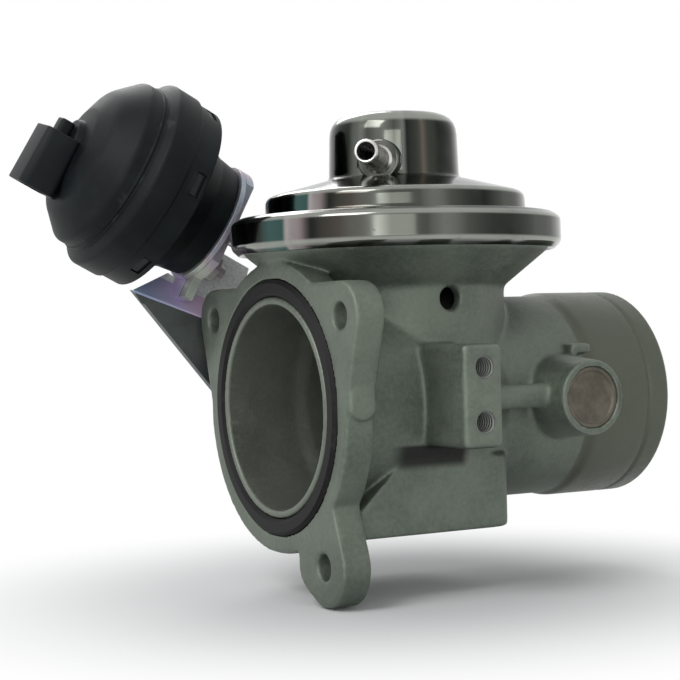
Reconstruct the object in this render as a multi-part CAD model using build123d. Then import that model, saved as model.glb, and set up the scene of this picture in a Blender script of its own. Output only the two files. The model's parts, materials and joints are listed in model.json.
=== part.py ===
from build123d import *
from math import cos, sin, radians, sqrt
import os

os.makedirs("parts", exist_ok=True)

# Vacuum exhaust-gas recirculation valve joined to an intake throttle body.
# +X runs along the intake duct from the manifold flange's face to the hose spigot.
# +Z is up, along the lift of the exhaust valve. The lever and actuator are on the +Y side.
# The origin is the centre of the outlet port at the flange's face. Millimetres throughout.

# ---------------------------------------------------------------- fits and clearances
running_gap = 0.04          # radial gap of a shaft or stem in its bush
slide_gap = 0.3             # gap between faces that pass each other
seat_gap = 0.05             # gap left between a valve face and its seat
thread_gap = 0.05           # radial gap that stands for a thread's flanks
overcut = 5.0               # how far a cutting shape runs past the face that it opens

# ---------------------------------------------------------------- intake duct
outlet_radius = 26.4
outlet_pilot_length = 20.0   # full-size part of the outlet, where the manifold's pipe locates
duct_radius = 25.4
throttle_radius = 24.5
duct_end = 56.0              # where the duct starts to narrow to the throttle bore
taper_length = 4.0
body_radius = 31.5
body_end = 46.0              # where the body's outside starts to fall to the throttle tube
body_fall = 8.0              # length of that fall
tube_wall = 3.0
tube_step_x = 81.0
tube_step = 2.0              # length of the rise to the spigot
spigot_wall = 3.85
spigot_end = 107.6
hose_groove_x = 99.75
hose_groove_width = 1.5
hose_groove_depth = 0.5
spigot_chamfer = 1.0
nub_size = (6.5, 6.0, 2.7)    # small locating nub on the tube
nub_place = (77.3, -25.5, 13.0)

# ---------------------------------------------------------------- manifold flange
flange_thickness = 8.0
lip_wall = 1.9               # metal ring between the port and the seal groove
lip_height = 0.45
seal_width = 4.7
seal_groove_depth = 3.0
seal_stand = 0.8             # how far the seal stands out of its groove before it is clamped
flange_rim = 4.5             # metal outside the seal groove
ear_y = 34.9
ear_z = 22.9
ear_radius = 8.5
foot_ear_y = -24.2
foot_ear_z = -38.4
foot_ear_radius = 10.0
flange_bolt_hole = 3.3       # radius, clears an M6 bolt
flange_pad_z = 1.8           # moulding pad on the flange's edge
flange_pad_face = 39.0
flange_pad_root = 30.0
ear_web_y = 20.0             # where each upper ear's web runs into the ring
ear_foot = (33.0, 2.0)       # (y, z) where each ear's lower edge meets the ring
foot_web = (-18.0, -38.4, 7.0)                   # (y, z, radius) that widens the foot ear
foot_root = (-16.0, -20.0, 11.0)
seal_side_gap = 0.2          # between the seal and the sides of its groove
seal_crest = 0.9             # half width of the seal's raised middle
seal_nub_turns = (60, 90, 120)
seal_nub_radius = 0.8
seal_nub_sink = 0.6          # of each nub's middle into the seal

# ---------------------------------------------------------------- exhaust valve and its neck
valve_x = 37.96
neck_radius = 28.5
neck_top = 30.0
dish_top = 39.6
rim_radius = 42.5            # rim that carries the can; the rod and its bracket stand off from it
rim_overhang = 2.1           # of the rim over the dish under it
rim_bottom = 41.0
rim_top = 46.8
clamp_land = 4.5             # width of the ring that clamps the diaphragm
chamber_floor = 18.0
casting_wall = 3.6
guide_tower_radius = 7.5
guide_tower_top = 36.5
vent_radius = 2.9
vent_z = 26.8
vent_offset = -1.5           # along X from the valve's axis
stem_radius = 3.0
stem_top = 53.0
stem_bush_radius = 5.5
stem_seal_height = 3.5

# ---------------------------------------------------------------- exhaust inlet block
block_half_width = 28.5
block_bottom = -32.2
block_end = 55.0
block_top = -13.4
block_flange_z = -25.5       # where the block's sloping top leaves the flange
block_slope_start = 21.0
block_corner = 6.0
seat_radius = 14.0
seat_bore = 10.0
seat_height = 5.0
seat_face = 1.2              # height of the seat's 45 degree face
seat_throat = 12.6           # housing's opening above the seat
seat_contact = 0.75          # share of the seat's face that the closed head covers
head_radius = 11.6
head_land = 1.2
head_taper = 3.2
head_neck = 1.5              # of the head's top round the stem
exhaust_bolt_pitch = 40.0
tapped_radius = 2.5          # M6 tapping drill
tapped_depth = 10.0

# ---------------------------------------------------------------- two-hole side boss
side_boss_x = 32.0
side_boss_z = 2.7
side_boss_width = 11.2
side_boss_height = 25.4
side_boss_face = 48.5        # distance of its face from the duct's axis
side_bolt_pitch = 13.3
side_bolt_x = 32.5
side_bolt_z = 3.0
side_bolt_depth = 14.0
side_boss_round = 1.5

# ---------------------------------------------------------------- throttle
shaft_x = 71.8
shaft_z = 0.5
shaft_radius = 4.0
bush_radius = 6.0
bush_length = 7.0
boss_radius = 9.7
boss_root_radius = 11.0
front_boss_face = 40.0
boss_to_lever = 1.0
plug_radius = 8.0
plug_recess = 1.6
plug_thickness = 1.2
shaft_seal_radius = 7.2
shaft_seal_length = 3.0
shaft_seal_sink = 0.3        # of the seal's face into the boss
plug_dish = 1.6              # width of the plug's raised edge
plug_dish_depth = 0.4
stud_run_out = 1.5           # of a threaded end past its nut
lever_nut_flats = 5.0
pin_head_wall = 0.8
pin_neck_depth = 0.6         # of the groove that holds the clip
pin_end = 1.2                # of the pin past its clip
clip_mouth = 2.8             # width of the clip's opening
shaft_end_gap = 0.5          # between the shaft and the core plug
flap_thickness = 2.0
flap_edge_gap = 0.25
flap_angle = 80.0            # degrees from open to closed
flap_screw_radius = 1.5
flap_screw_head = 2.6
flap_seat_depth = 1.0        # of the flat under each screw head, into the shaft
flap_screw_head_height = 1.5
screw_slot = (0.7, 1.2)      # width of the screwdriver slot, and twice its depth
flap_screw_y = 10.0
rib_radius = 3.2
rib_y = 31.5
rib_z = 1.3
rib_start = 36.0
rib_end = 62.0

# ---------------------------------------------------------------- lever and linkage
rod_standoff = 3.5           # of the plane in which the rod moves from the can's rim
ear_past_rim = 0.9           # how far the flange's ears may reach past that rim
actuator_tilt = 28.0         # degrees of the rod above the horizontal
lever_length = 14.0
lever_inset = 8.0            # of the lever's inner face from the rod's plane
lever_thickness = 3.0
lever_stud_radius = 3.0      # end of the shaft that carries the lever
lever_hub_radius = 8.5
lever_eye_radius = 5.5
lever_pin_radius = 2.5
rod_radius = 2.5
rod_end_thickness = 4.0
rod_end_wall = 2.6
rod_end_round = 4.2
slot_relief = 0.2            # of the slot's corner radius under the pin's
rod_end_shank_radius = 4.0
rod_end_shank = 10.0
pin_collar_radius = 3.8
pin_clip_radius = 4.5
pin_clip_thickness = 0.8
pin_play = 0.1               # least gap between the pin and its slot
stop_arm_length = 12.5
stop_arm_width = 5.0
stop_arm_turn = 208.0        # degrees from the lever's arm round to its stop arm
stop_screw_radius = 2.5
stop_screw_length = 21.0
stop_screw_socket = 1.3
lock_nut_flats = 4.0
stud_nut_flats = 3.5
stop_lug_size = 9.0
stop_lug_reach = 11.0        # from the stop arm's middle to the lug's middle
nut_height = 3.2

# ---------------------------------------------------------------- vacuum can of the exhaust valve
sheet = 1.1
plate_thickness = 1.6
lower_plate_radius = 24.0
upper_plate_radius = 22.0
upper_plate_lip = 3.6
plate_z = 43.9               # underside of the diaphragm's middle
egr_spring_radius = 11.5
egr_spring_wire = 1.1
egr_spring_turns = 5
egr_spring_top = 73.0
diaphragm_thickness = 1.4
diaphragm_land = 3.0         # free ring between the chamber's wall and the roll
roll_start = 2.0             # of the roll from the upper plate's edge
roll_width = 5.0
roll_drop = 1.6
roll_shift = 0.5
stem_nut_flats = 5.0         # from the middle to a flat
stem_nut_height = 4.4
spring_end_gap = 0.1
crimp_drop = 1.7             # of the crimp under the housing's rim
crimp_round = 1.8
crimp_lean = 0.4
crimp_shoulder = 2.7
crimp_lip = 1.4              # that grips the underside of the rim
press_round = 0.8            # small step that rounds each fold of the pressing
crimp_wrap = 1.5             # of the can's crimp outside the housing's rim
can_step_radius = 34.9
can_step_top = 54.9
cap_radius = 17.3
cap_bottom = 59.1
cap_shoulder = 72.6
cap_crown = 76.6
cap_round = 4.5              # run of each of the two facets that round the cap's shoulder
cap_lean = 0.5
nipple_radius = 3.1
nipple_bore = 2.3
nipple_length = 15.0
nipple_z = 61.9              # where the nipple's axis meets the can's
nipple_lean = 0.06           # rise of the nipple along its run
nipple_chamfer = 0.6
nipple_turn = 226.0          # degrees about the can's axis
nipple_pad_radius = 5.5
nipple_pad_height = 1.2
nipple_root = 0.7            # of the nipple's root beyond its own radius
nipple_root_height = 0.3     # straight part of the root above the pad

# ---------------------------------------------------------------- flap actuator
actuator_base_x = 4.9        # where the rod's axis leaves the actuator's mounting face
base_ring_radius = 17.6
base_ring_thickness = 1.6
can_foot_radius = 16.6
can_waist_radius = 20.2
can_waist = 14.0
can_flange_radius = 26.0
can_flange = 20.5
can_bulge_height = 8.0       # where the can starts to widen
can_bulge = 0.9
can_lip = 2.6                # rise of the can's flange over its waist
can_lip_chamfer = 0.4
can_lip_run = 1.5
fold_depth = 2.2             # of the actuator diaphragm's roll over the piston
actuator_diaphragm_thickness = 1.2
fold_shift = 0.6
snap_play = 0.9              # of each nose in its window
snap_bite = 0.4
skirt_radius = 27.1
skirt_bottom = 15.2
skirt_step = 22.0
cap_band_radius = 27.9
cap_band_top = 29.4
cap_drum_radius = 24.5
cap_drum_top = 35.4
band_fall = (0.9, 1.6)       # the band's sloping shoulder: run off the drum, and drop
band_foot = 0.5
cap_dome_top = 46.6
dome_shares = ((0.93, 0.268), (0.755, 0.589), (0.506, 0.821), (0.245, 0.982), (0, 1))
pedestal_radius = 6.5        # low disc on the roof, at the connector's root
pedestal_height = 0.8
moulding_wall = 2.2
skirt_gap = 0.15             # between the can's flange and the cap's skirt
snap_count = 6
snap_width = 7.0
snap_depth = 4.0             # of the cut or nose across the skirt
snap_bottom = 16.6
snap_top = 19.2
piston_radius = 13.5
piston_bottom = 6.8
piston_thickness = 2.5
spring_cup_radius = 11.6
spring_cup_lip = 3.0
spring_cup_sheet = 0.9
actuator_spring_radius = 9.6
actuator_spring_wire = 0.9
actuator_spring_turns = 6
actuator_spring_top = 41.6
guide_radius = 4.6
guide_top = 6.2
guide_flange = 1.6           # of the guide's inner flange beyond its barrel
magnet_radius = 4.0
magnet_length = 5.0
sensor_size = 8.4
sensor_height = 4.0
sensor_gap = 0.3
port_radius = 3.0            # the cap's own vacuum nipple, on the +Y side
port_bore = 1.6
port_height = 33.2
port_reach = 38.0
port_root_radius = 4.2
port_root_reach = 28.0
stud_circle = 12.5
stud_turn = 110.0            # degrees of the lower stud about the actuator's axis
stud_radius = 2.0
stud_length = 8.0
shroud_turn = 12.0           # degrees that the connector is turned about the actuator's axis
shroud_length = 16.5
shroud_width = 15.0
shroud_top = 55.0
shroud_height = 10.6
shroud_wall = 1.7
shroud_round = 2.2
shroud_tab = (7.0, 5.0, 1.8)                     # latch tab under the connector's mouth
shroud_nub = (6.0, 4.0, 4.0)                     # nub behind the connector
shroud_root = -0.8           # back of the connector, along its mouth's direction
socket_depth = 11.5
blade_pitch = 3.6
blade_length = 10.0
blade_root = 2.5             # length that stands in the wall
blade_section = (2.2, 0.8)

# ---------------------------------------------------------------- bracket
bracket_sheet = 2.5
bracket_inset = 1.5          # of its side plate's inner face from the rod's plane
bracket_hole_a = (14.0, 7.0)
bracket_hole_b = (27.0, 1.0)
bracket_pillar_radius = 6.0
bracket_screw_radius = 2.5
bracket_screw_length = 14.0
bracket_screw_head = 4.4
bracket_screw_head_height = 3.5
bracket_wing_offset = 8.0    # of the wing's middle from the rod's plane
bracket_plate_radius = 17.6
bracket_rod_hole = 6.0
bracket_face_trim = (5.0, 36.0)                  # middle and width of the mounting face across the tube
bracket_tongue = (1.0, 17.0, 14.0, 12.0)         # x, y, width and length of the tongue beside the rod
# outlines of the bracket, on its own planes
bracket_wing = ((0, -3.5), (19.4, -3.5), (20.5, -11.5), (12, -16.5), (0, -16.5))
bracket_side = ((-19.4, 31.9), (1.2, 24.3), (16, 18.8), (33, 14), (33, -2), (23, -6), (9, -2), (4.3, 3.4))
bracket_lean_near = ((-19.4, 31.9), (1.2, 24.3), (1.2, 21.3), (-17.2, 28.2))
bracket_lean_far = ((-4.2, 36.9), (8.5, 30.6), (8.5, 27.6), (-4.2, 33.9))


def save(shape, node):
    """Write one named piece."""
    shape.label = node
    export_step(shape, f"parts/{node}.step")


def ring_profile(points, axis):
    """Solid of revolution about a plane's normal from (radius, height) points."""
    outline = Plane.XZ * make_face(Polyline(*points, close=True))
    return axis * revolve(outline, Axis.Z)


def rod(radius, start, end, plane):
    """Cylinder along a plane's normal between two heights."""
    height = end - start
    return plane * Pos(0, 0, start + height / 2) * Cylinder(radius, height)


def tube(outer, inner, start, end, plane):
    """Plain ring or bush along a plane's normal between two heights."""
    return rod(outer, start, end, plane) - rod(inner, start - 1, end + 1, plane)


def prism(outline, start, end, plane):
    """Straight extrusion of an outline along a plane's normal between two heights."""
    return plane * Pos(0, 0, start) * extrude(outline, amount=end - start, dir=(0, 0, 1))


def across(outline, y_from, y_to):
    """Extrusion along +Y of an outline drawn in X and Z."""
    return prism(outline, -y_to, -y_from, Plane.XZ)


def cross_rod(radius, x, z, y_from, y_to):
    """Cylinder along +Y."""
    return across(Pos(x, z) * Circle(radius), y_from, y_to)


def cross_tube(outer, inner, x, z, y_from, y_to):
    """Plain ring or bush along +Y."""
    return cross_rod(outer, x, z, y_from, y_to) - cross_rod(inner, x, z, y_from - 1, y_to + 1)


def hull(*discs):
    """Outline drawn tightly round discs, each given as (x, y, radius)."""
    edges = [edge for x, y, r in discs for edge in (Pos(x, y) * Circle(r)).edges()]
    return make_hull(edges)


def polygon(*points):
    """Flat outline through points."""
    return make_face(Polyline(*points, close=True))


def coil(radius, wire, start, end, turns, plane):
    """Compression spring that fills the room between two heights."""
    free = end - start - 2 * wire
    path = Helix(pitch=free / turns, height=free, radius=radius)
    section = Plane(origin=path @ 0, z_dir=path % 0) * Circle(wire)
    return plane * Pos(0, 0, start + wire) * sweep(section, path=path, is_frenet=True)


def hex_nut(flats_radius, bore, start, end, plane):
    """Plain hexagon nut."""
    body = prism(RegularPolygon(flats_radius, 6, major_radius=False), start, end, plane)
    return body - rod(bore, start - 1, end + 1, plane)


# ---------------------------------------------------------------- planes and shared places
duct_plane = Plane.YZ                                            # heights run along +X
valve_plane = Plane(origin=(valve_x, 0, 0), x_dir=(1, 0, 0), z_dir=(0, 0, 1))

dish_radius = rim_radius - rim_overhang
chamber_radius = rim_radius - clamp_land
can_rim_radius = rim_radius + crimp_wrap
actuator_y = max(rim_radius, ear_y + ear_radius - ear_past_rim) + rod_standoff
lever_y = actuator_y - lever_inset
rear_boss_face = lever_y - boss_to_lever
bracket_y = actuator_y - bracket_inset
bracket_wing_y = actuator_y + bracket_wing_offset

tilt = radians(actuator_tilt)
half_swing = radians(flap_angle / 2)
pull = Vector(-cos(tilt), 0, sin(tilt))                          # the way the rod is pulled
lift = Vector(sin(tilt), 0, cos(tilt))                           # square to the rod, upwards
half_stroke = lever_length * sin(half_swing)
eye_rise = lever_length * (1 - cos(half_swing)) / 2              # of the lever's eye off the rod's line
rod_offset = lever_length - eye_rise                             # of the rod's line from the shaft
rod_foot = Vector(shaft_x, actuator_y, shaft_z) + lift * rod_offset
rod_run = (rod_foot.X - actuator_base_x) / cos(tilt)
actuator_plane = Plane(origin=rod_foot + pull * rod_run, x_dir=(0, 1, 0), z_dir=pull)
eye_height = -rod_run - half_stroke                              # of the rod end's slot, at rest
rod_end_turn = 90 - actuator_tilt - flap_angle / 2               # of the lever above +X, at rest
pin_gap = lever_length * (sin(half_swing / 2) - sin(half_swing) / 2) + pin_play

body_wall_y = duct_radius + 1                                    # where pads and pillars start
rim_clamp = rim_top + diaphragm_thickness                        # top of the clamped diaphragm
tube_radius = throttle_radius + tube_wall
spigot_radius = throttle_radius + spigot_wall
seat_top = block_bottom + seat_height
head_bottom = seat_top - seat_face * seat_contact + seat_gap
seal_inner = outlet_radius + lip_wall
seal_outer = seal_inner + seal_width
flange_radius = seal_outer + flange_rim
groove_end = hose_groove_x + hose_groove_width
flap_radius = throttle_radius - shaft_z - flap_edge_gap
lever_end = lever_y + lever_thickness
pin_x = shaft_x + lever_length * cos(radians(rod_end_turn))
pin_z = shaft_z + lever_length * sin(radians(rod_end_turn))
plug_seat = front_boss_face - plug_recess
shaft_seal_y = rear_boss_face - shaft_seal_length
side_bolt_zs = [side_bolt_z + step * side_bolt_pitch / 2 for step in (-1, 1)]


def stop_plane():
    """Plane whose normal is the stop screw's axis, from the arm's middle out to the screw's head."""
    turn = radians(rod_end_turn + stop_arm_turn)
    middle = Vector(shaft_x + stop_arm_length * cos(turn), 0, shaft_z + stop_arm_length * sin(turn))
    away = Vector(sin(turn), 0, -cos(turn))
    return Plane(origin=middle + Vector(0, lever_y + lever_thickness / 2, 0), x_dir=(0, 1, 0), z_dir=away)


# ---------------------------------------------------------------- housing
def flange():
    """Three-eared plate round the outlet, with its lip, seal groove and bolt holes."""
    outline = Circle(flange_radius)
    for side in (-1, 1):
        upper_ear = (side * ear_y, ear_z, ear_radius)
        web = (side * ear_web_y, ear_z, ear_radius)
        outline += hull(upper_ear, web, (side * ear_foot[0], ear_foot[1], flange_rim))
    foot = (foot_ear_y, foot_ear_z, foot_ear_radius)
    outline += hull(foot, foot_web)
    outline += hull(foot, foot_root)
    for y, z in ((-ear_y, ear_z), (ear_y, ear_z), (foot_ear_y, foot_ear_z)):
        outline -= Pos(y, z) * Circle(flange_bolt_hole)
    plate = prism(outline, 0, flange_thickness, duct_plane)
    plate += rod(seal_inner, -lip_height, 1, duct_plane)
    half = flange_thickness / 2
    pad = cross_rod(half, half, flange_pad_z, -flange_pad_face, -flange_pad_root)
    return plate + pad


def duct_outside():
    """Body round the duct, throttle tube and hose spigot."""
    return ring_profile(
        [(0, 1), (body_radius, 1), (body_radius, body_end),
         (tube_radius, body_end + body_fall), (tube_radius, tube_step_x),
         (spigot_radius, tube_step_x + tube_step), (spigot_radius, hose_groove_x),
         (spigot_radius - hose_groove_depth, hose_groove_x),
         (spigot_radius - hose_groove_depth, groove_end), (spigot_radius, groove_end),
         (spigot_radius, spigot_end - spigot_chamfer),
         (spigot_radius - spigot_chamfer, spigot_end), (0, spigot_end)], duct_plane)


def duct_bore():
    """Air way, from the outlet's pilot bore to the throttle bore."""
    return ring_profile(
        [(0, -overcut), (outlet_radius, -overcut), (outlet_radius, outlet_pilot_length),
         (duct_radius, outlet_pilot_length + taper_length), (duct_radius, duct_end),
         (throttle_radius, duct_end + taper_length), (throttle_radius, spigot_end + overcut),
         (0, spigot_end + overcut)], duct_plane)


def neck():
    """Upright neck that opens into the dish and the rim under the vacuum can."""
    return ring_profile(
        [(0, 0), (neck_radius, 0), (neck_radius, neck_top), (dish_radius, dish_top),
         (dish_radius, rim_bottom), (rim_radius, rim_bottom), (rim_radius, rim_top),
         (0, rim_top)], valve_plane)


def neck_chamber():
    """Hollow under the diaphragm, above the duct's roof and round the stem's guide tower."""
    slope = (dish_top - neck_top) / (dish_radius - neck_radius)
    rise = casting_wall * sqrt(1 + slope**2)
    floor_radius = neck_radius - casting_wall
    low = neck_top + (floor_radius - neck_radius) * slope + rise
    high = neck_top + (chamber_radius - neck_radius) * slope + rise
    hollow = ring_profile(
        [(0, chamber_floor), (floor_radius, chamber_floor), (floor_radius, low),
         (chamber_radius, high), (chamber_radius, rim_top + 1), (0, rim_top + 1)], valve_plane)
    roof = rod(outlet_radius + casting_wall, 0, tube_step_x, duct_plane)
    tower = rod(guide_tower_radius, 0, guide_tower_top, valve_plane)
    return hollow - roof - tower


def inlet_block():
    """Exhaust inlet foot with rounded corners and a sloping web to the flange."""
    outline = polygon(
        (flange_thickness - 1, block_flange_z), (flange_thickness, block_flange_z),
        (block_slope_start, block_top),
        (block_end, block_top), (block_end, block_bottom), (flange_thickness - 1, block_bottom))
    block = across(outline, -block_half_width, block_half_width)
    upright = block.edges().filter_by(Axis.Z).group_by(Axis.X)[-1]
    return fillet(upright, block_corner)


def side_boss():
    """Two-hole boss on the -Y side, with rounded edges."""
    height = side_boss_face - body_wall_y
    boss = Pos(side_boss_x, -(side_boss_face + body_wall_y) / 2, side_boss_z) * Box(
        side_boss_width, height, side_boss_height)
    boss = fillet(boss.edges().filter_by(Axis.Y), side_boss_round)
    return fillet(boss.faces().sort_by(Axis.Y)[0].edges(), side_boss_round / 2)


def shaft_bosses():
    """Bearing bosses of the cross shaft, both a little wider at the root."""
    shaft_plane = Plane(origin=(shaft_x, 0, shaft_z), x_dir=(1, 0, 0), z_dir=(0, -1, 0))
    profile = [(0, 0), (boss_root_radius, 0), (boss_root_radius, tube_radius),
               (boss_radius, front_boss_face), (0, front_boss_face)]
    rear = [(0, 0), (boss_root_radius, 0), (boss_root_radius, -tube_radius),
            (boss_radius, -rear_boss_face), (0, -rear_boss_face)]
    return ring_profile(profile, shaft_plane) + ring_profile(rear, shaft_plane)


def shaft_ways():
    """Cross bore with its bush pockets, seal pocket and plug recess."""
    ways = cross_rod(shaft_radius + slide_gap, shaft_x, shaft_z, -plug_seat, rear_boss_face)
    ways += cross_rod(bush_radius, shaft_x, shaft_z, -plug_seat - seat_gap, bush_length - plug_seat)
    ways += cross_rod(bush_radius, shaft_x, shaft_z, shaft_seal_y - bush_length, rear_boss_face + 1)
    ways += cross_rod(shaft_seal_radius, shaft_x, shaft_z, shaft_seal_y, rear_boss_face + 1)
    ways += cross_rod(plug_radius, shaft_x, shaft_z, -front_boss_face - 1, -plug_seat)
    return ways


def stop_lug():
    """Lug on the +Y side that holds the stop screw."""
    plane = stop_plane()
    reach = stop_lug_size
    top = stop_lug_size / 2
    root = tube_radius - lever_y - lever_thickness / 2 - 2
    block = Pos((top + root) / 2, 0) * Rectangle(top - root, reach)
    half = stop_lug_size / 2
    return prism(block, stop_lug_reach - half, stop_lug_reach + half, plane)


def make_housing():
    body = duct_outside() + neck() + inlet_block() + flange() + side_boss() + shaft_bosses()
    rib = Pos(0, -rib_y, rib_z) * Rot(0, 90, 0) * Pos(0, 0, (rib_start + rib_end) / 2) * Cylinder(
        rib_radius, rib_end - rib_start)
    body += rib + stop_lug()
    body += Pos(*nub_place) * Box(*nub_size)
    for x, z in (bracket_hole_a, bracket_hole_b):
        body += cross_rod(bracket_pillar_radius, x, z, body_wall_y, bracket_y)
    body -= duct_bore()
    body -= tube(seal_outer, seal_inner, -1, seal_groove_depth, duct_plane)
    body -= neck_chamber()
    body -= rod(stem_bush_radius, 0, guide_tower_top + 1, valve_plane)
    body -= rod(seat_throat, seat_top, 0, valve_plane)
    body -= rod(seat_radius, block_bottom - 1, seat_top, valve_plane)
    body -= shaft_ways()
    body -= rod(stop_screw_radius + thread_gap, 0, stop_screw_length, stop_plane())
    vent_x = valve_x + vent_offset
    body -= cross_rod(vent_radius, vent_x, vent_z, -neck_radius - overcut, overcut - neck_radius)
    for side in (-1, 1):
        bolt = Plane(origin=(valve_x, side * exhaust_bolt_pitch / 2, block_bottom))
        body -= rod(tapped_radius, -1, tapped_depth, bolt)
    for z in side_bolt_zs:
        deep = side_bolt_depth - side_boss_face
        body -= cross_rod(tapped_radius, side_bolt_x, z, -side_boss_face - 1, deep)
    for x, z in (bracket_hole_a, bracket_hole_b):
        depth = bracket_screw_length - bracket_sheet + 1
        body -= cross_rod(bracket_screw_radius + thread_gap, x, z, bracket_y - depth, bracket_y + 1)
    return body


def make_flange_seal():
    """Face seal with a rounded seal_crest and three nubs that hold it in its groove."""
    inner = seal_inner + seal_side_gap
    outer = seal_outer - seal_side_gap
    seal = ring_profile(
        [(inner, seal_groove_depth), (inner, seal_crest - seal_stand), (inner + seal_crest, -seal_stand),
         (outer - seal_crest, -seal_stand), (outer, seal_crest - seal_stand), (outer, seal_groove_depth)],
        duct_plane)
    for turn in seal_nub_turns:
        nub = Rot(0, 0, turn) * Pos(outer - seal_nub_sink, 0, seal_groove_depth / 2) * Cylinder(
            seal_nub_radius, seal_groove_depth)
        seal += duct_plane * nub
    return seal


# ---------------------------------------------------------------- exhaust valve
def make_valve_seat():
    """Pressed-in seat with a 45 degree face."""
    return ring_profile(
        [(seat_bore, block_bottom), (seat_radius, block_bottom), (seat_radius, seat_top),
         (seat_bore + seat_face, seat_top), (seat_bore, seat_top - seat_face)], valve_plane)


def make_valve_head():
    """Poppet whose cone stands one seat gap off the seat."""
    inner = seat_bore + seat_face * (1 - seat_contact)
    low = head_bottom
    edge = low + head_radius - inner
    return ring_profile(
        [(stem_radius, low), (inner, low), (head_radius, edge), (head_radius, edge + head_land),
         (stem_radius + head_neck, edge + head_land + head_taper),
         (stem_radius, edge + head_land + head_taper)], valve_plane)


def make_valve_stem():
    """Plain stem with a chamfered top."""
    return ring_profile(
        [(0, head_bottom), (stem_radius, head_bottom), (stem_radius, stem_top - 1),
         (stem_radius - 1, stem_top), (0, stem_top)], valve_plane)


def make_stem_bush():
    top = guide_tower_top - stem_seal_height
    return tube(stem_bush_radius, stem_radius + running_gap, duct_radius, top, valve_plane)


def make_stem_seal():
    low = guide_tower_top - stem_seal_height
    return tube(stem_bush_radius, stem_radius + running_gap, low, guide_tower_top, valve_plane)


def make_egr_diaphragm():
    """Rolled diaphragm, clamped at the rim and between the two plates."""
    top = plate_z + diaphragm_thickness
    inner = upper_plate_radius + roll_start
    outer = chamber_radius - diaphragm_land
    return ring_profile(
        [(stem_radius, plate_z), (inner, plate_z), (inner + roll_width, rim_top - roll_drop),
         (outer, rim_top), (rim_radius, rim_top), (rim_radius, rim_clamp), (outer - roll_shift, rim_clamp),
         (inner + roll_width - roll_shift, rim_clamp - roll_drop), (inner - roll_shift, top),
         (stem_radius, top)], valve_plane)


def make_lower_diaphragm_plate():
    return tube(lower_plate_radius, stem_radius, plate_z - plate_thickness, plate_z, valve_plane)


def make_upper_diaphragm_plate():
    """Dished plate that carries the diaphragm and the spring's foot."""
    low = plate_z + diaphragm_thickness
    top = low + plate_thickness
    return ring_profile(
        [(stem_radius, low), (upper_plate_radius, low), (upper_plate_radius, low + upper_plate_lip),
         (upper_plate_radius - plate_thickness, low + upper_plate_lip),
         (upper_plate_radius - plate_thickness, top), (stem_radius, top)], valve_plane)


def make_stem_nut():
    low = plate_z + diaphragm_thickness + plate_thickness
    return hex_nut(stem_nut_flats, stem_radius, low, low + stem_nut_height, valve_plane)


def make_egr_spring():
    low = plate_z + diaphragm_thickness + plate_thickness
    return coil(egr_spring_radius, egr_spring_wire, low + spring_end_gap, egr_spring_top, egr_spring_turns,
                valve_plane)


def nipple_plane():
    """Plane at the can's axis whose normal runs out along the vacuum nipple."""
    turn = radians(nipple_turn)
    return Plane(origin=(valve_x, 0, nipple_z), z_dir=(cos(turn), sin(turn), nipple_lean))


def make_can_cover():
    """Pressed cover, crimped round the housing's rim, with a raised pad for its nipple."""
    step_edge = can_step_radius - 2 * press_round
    step_slope = (cap_bottom - can_step_top) / (step_edge - cap_radius)
    under = sheet * sqrt(1 + step_slope**2)
    cover = ring_profile(
        [(rim_radius - press_round, rim_bottom - crimp_drop), (can_rim_radius - press_round, rim_bottom),
         (can_rim_radius, rim_bottom + crimp_round),
         (can_rim_radius - crimp_lean, rim_clamp - crimp_shoulder),
         (can_rim_radius - 3 * crimp_lean, rim_clamp - crimp_lean),
         (can_rim_radius - crimp_shoulder, rim_clamp + sheet / 2),
         (can_step_radius, rim_clamp + sheet), (can_step_radius - press_round, can_step_top - sheet),
         (step_edge, can_step_top), (cap_radius, cap_bottom), (cap_radius - cap_lean, cap_shoulder),
         (cap_radius - cap_round, cap_shoulder + cap_round / 2), (cap_radius - 2 * cap_round, cap_crown),
         (0, cap_crown), (0, cap_crown - sheet), (cap_radius - 2 * cap_round - cap_lean, cap_crown - sheet),
         (cap_radius - cap_round - cap_lean, cap_shoulder + cap_round / 2 - sheet),
         (cap_radius - cap_lean - sheet, cap_shoulder - cap_lean),
         (cap_radius - sheet, cap_bottom - press_round),
         (step_edge - cap_lean, can_step_top - under),
         (can_step_radius - press_round - sheet, can_step_top - sheet - cap_lean),
         (can_step_radius - sheet, rim_clamp), (rim_radius, rim_clamp), (rim_radius, rim_bottom),
         (rim_radius - crimp_lip, rim_bottom), (rim_radius - crimp_lip, rim_bottom - crimp_lip / 2)],
        valve_plane)
    pad_foot = cap_radius - nipple_pad_radius / 2
    pad = rod(nipple_pad_radius, pad_foot, cap_radius + nipple_pad_height, nipple_plane())
    hollow = rod(cap_radius - sheet, cap_bottom - overcut, cap_shoulder, valve_plane)
    way = rod(nipple_radius + nipple_root, cap_radius - overcut, cap_radius + overcut, nipple_plane())
    return cover + (pad - hollow) - way


def make_vacuum_nipple():
    """Straight tube with a thicker root where it is pressed into the cover."""
    start = cap_radius - sheet - nipple_chamfer
    end = cap_radius + nipple_length
    root = nipple_radius + nipple_root
    shoulder = cap_radius + nipple_pad_height + nipple_root_height
    return ring_profile(
        [(nipple_bore, start), (root, start), (root, shoulder),
         (nipple_radius, shoulder + nipple_root), (nipple_radius, end - nipple_chamfer),
         (nipple_radius - nipple_chamfer / 2, end), (nipple_bore, end)], nipple_plane())


# ---------------------------------------------------------------- throttle
def make_front_shaft_bush():
    return cross_tube(bush_radius, shaft_radius + running_gap, shaft_x, shaft_z, -plug_seat,
                      bush_length - plug_seat)


def make_rear_shaft_bush():
    return cross_tube(bush_radius, shaft_radius + running_gap, shaft_x, shaft_z,
                      shaft_seal_y - bush_length, shaft_seal_y)


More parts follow.
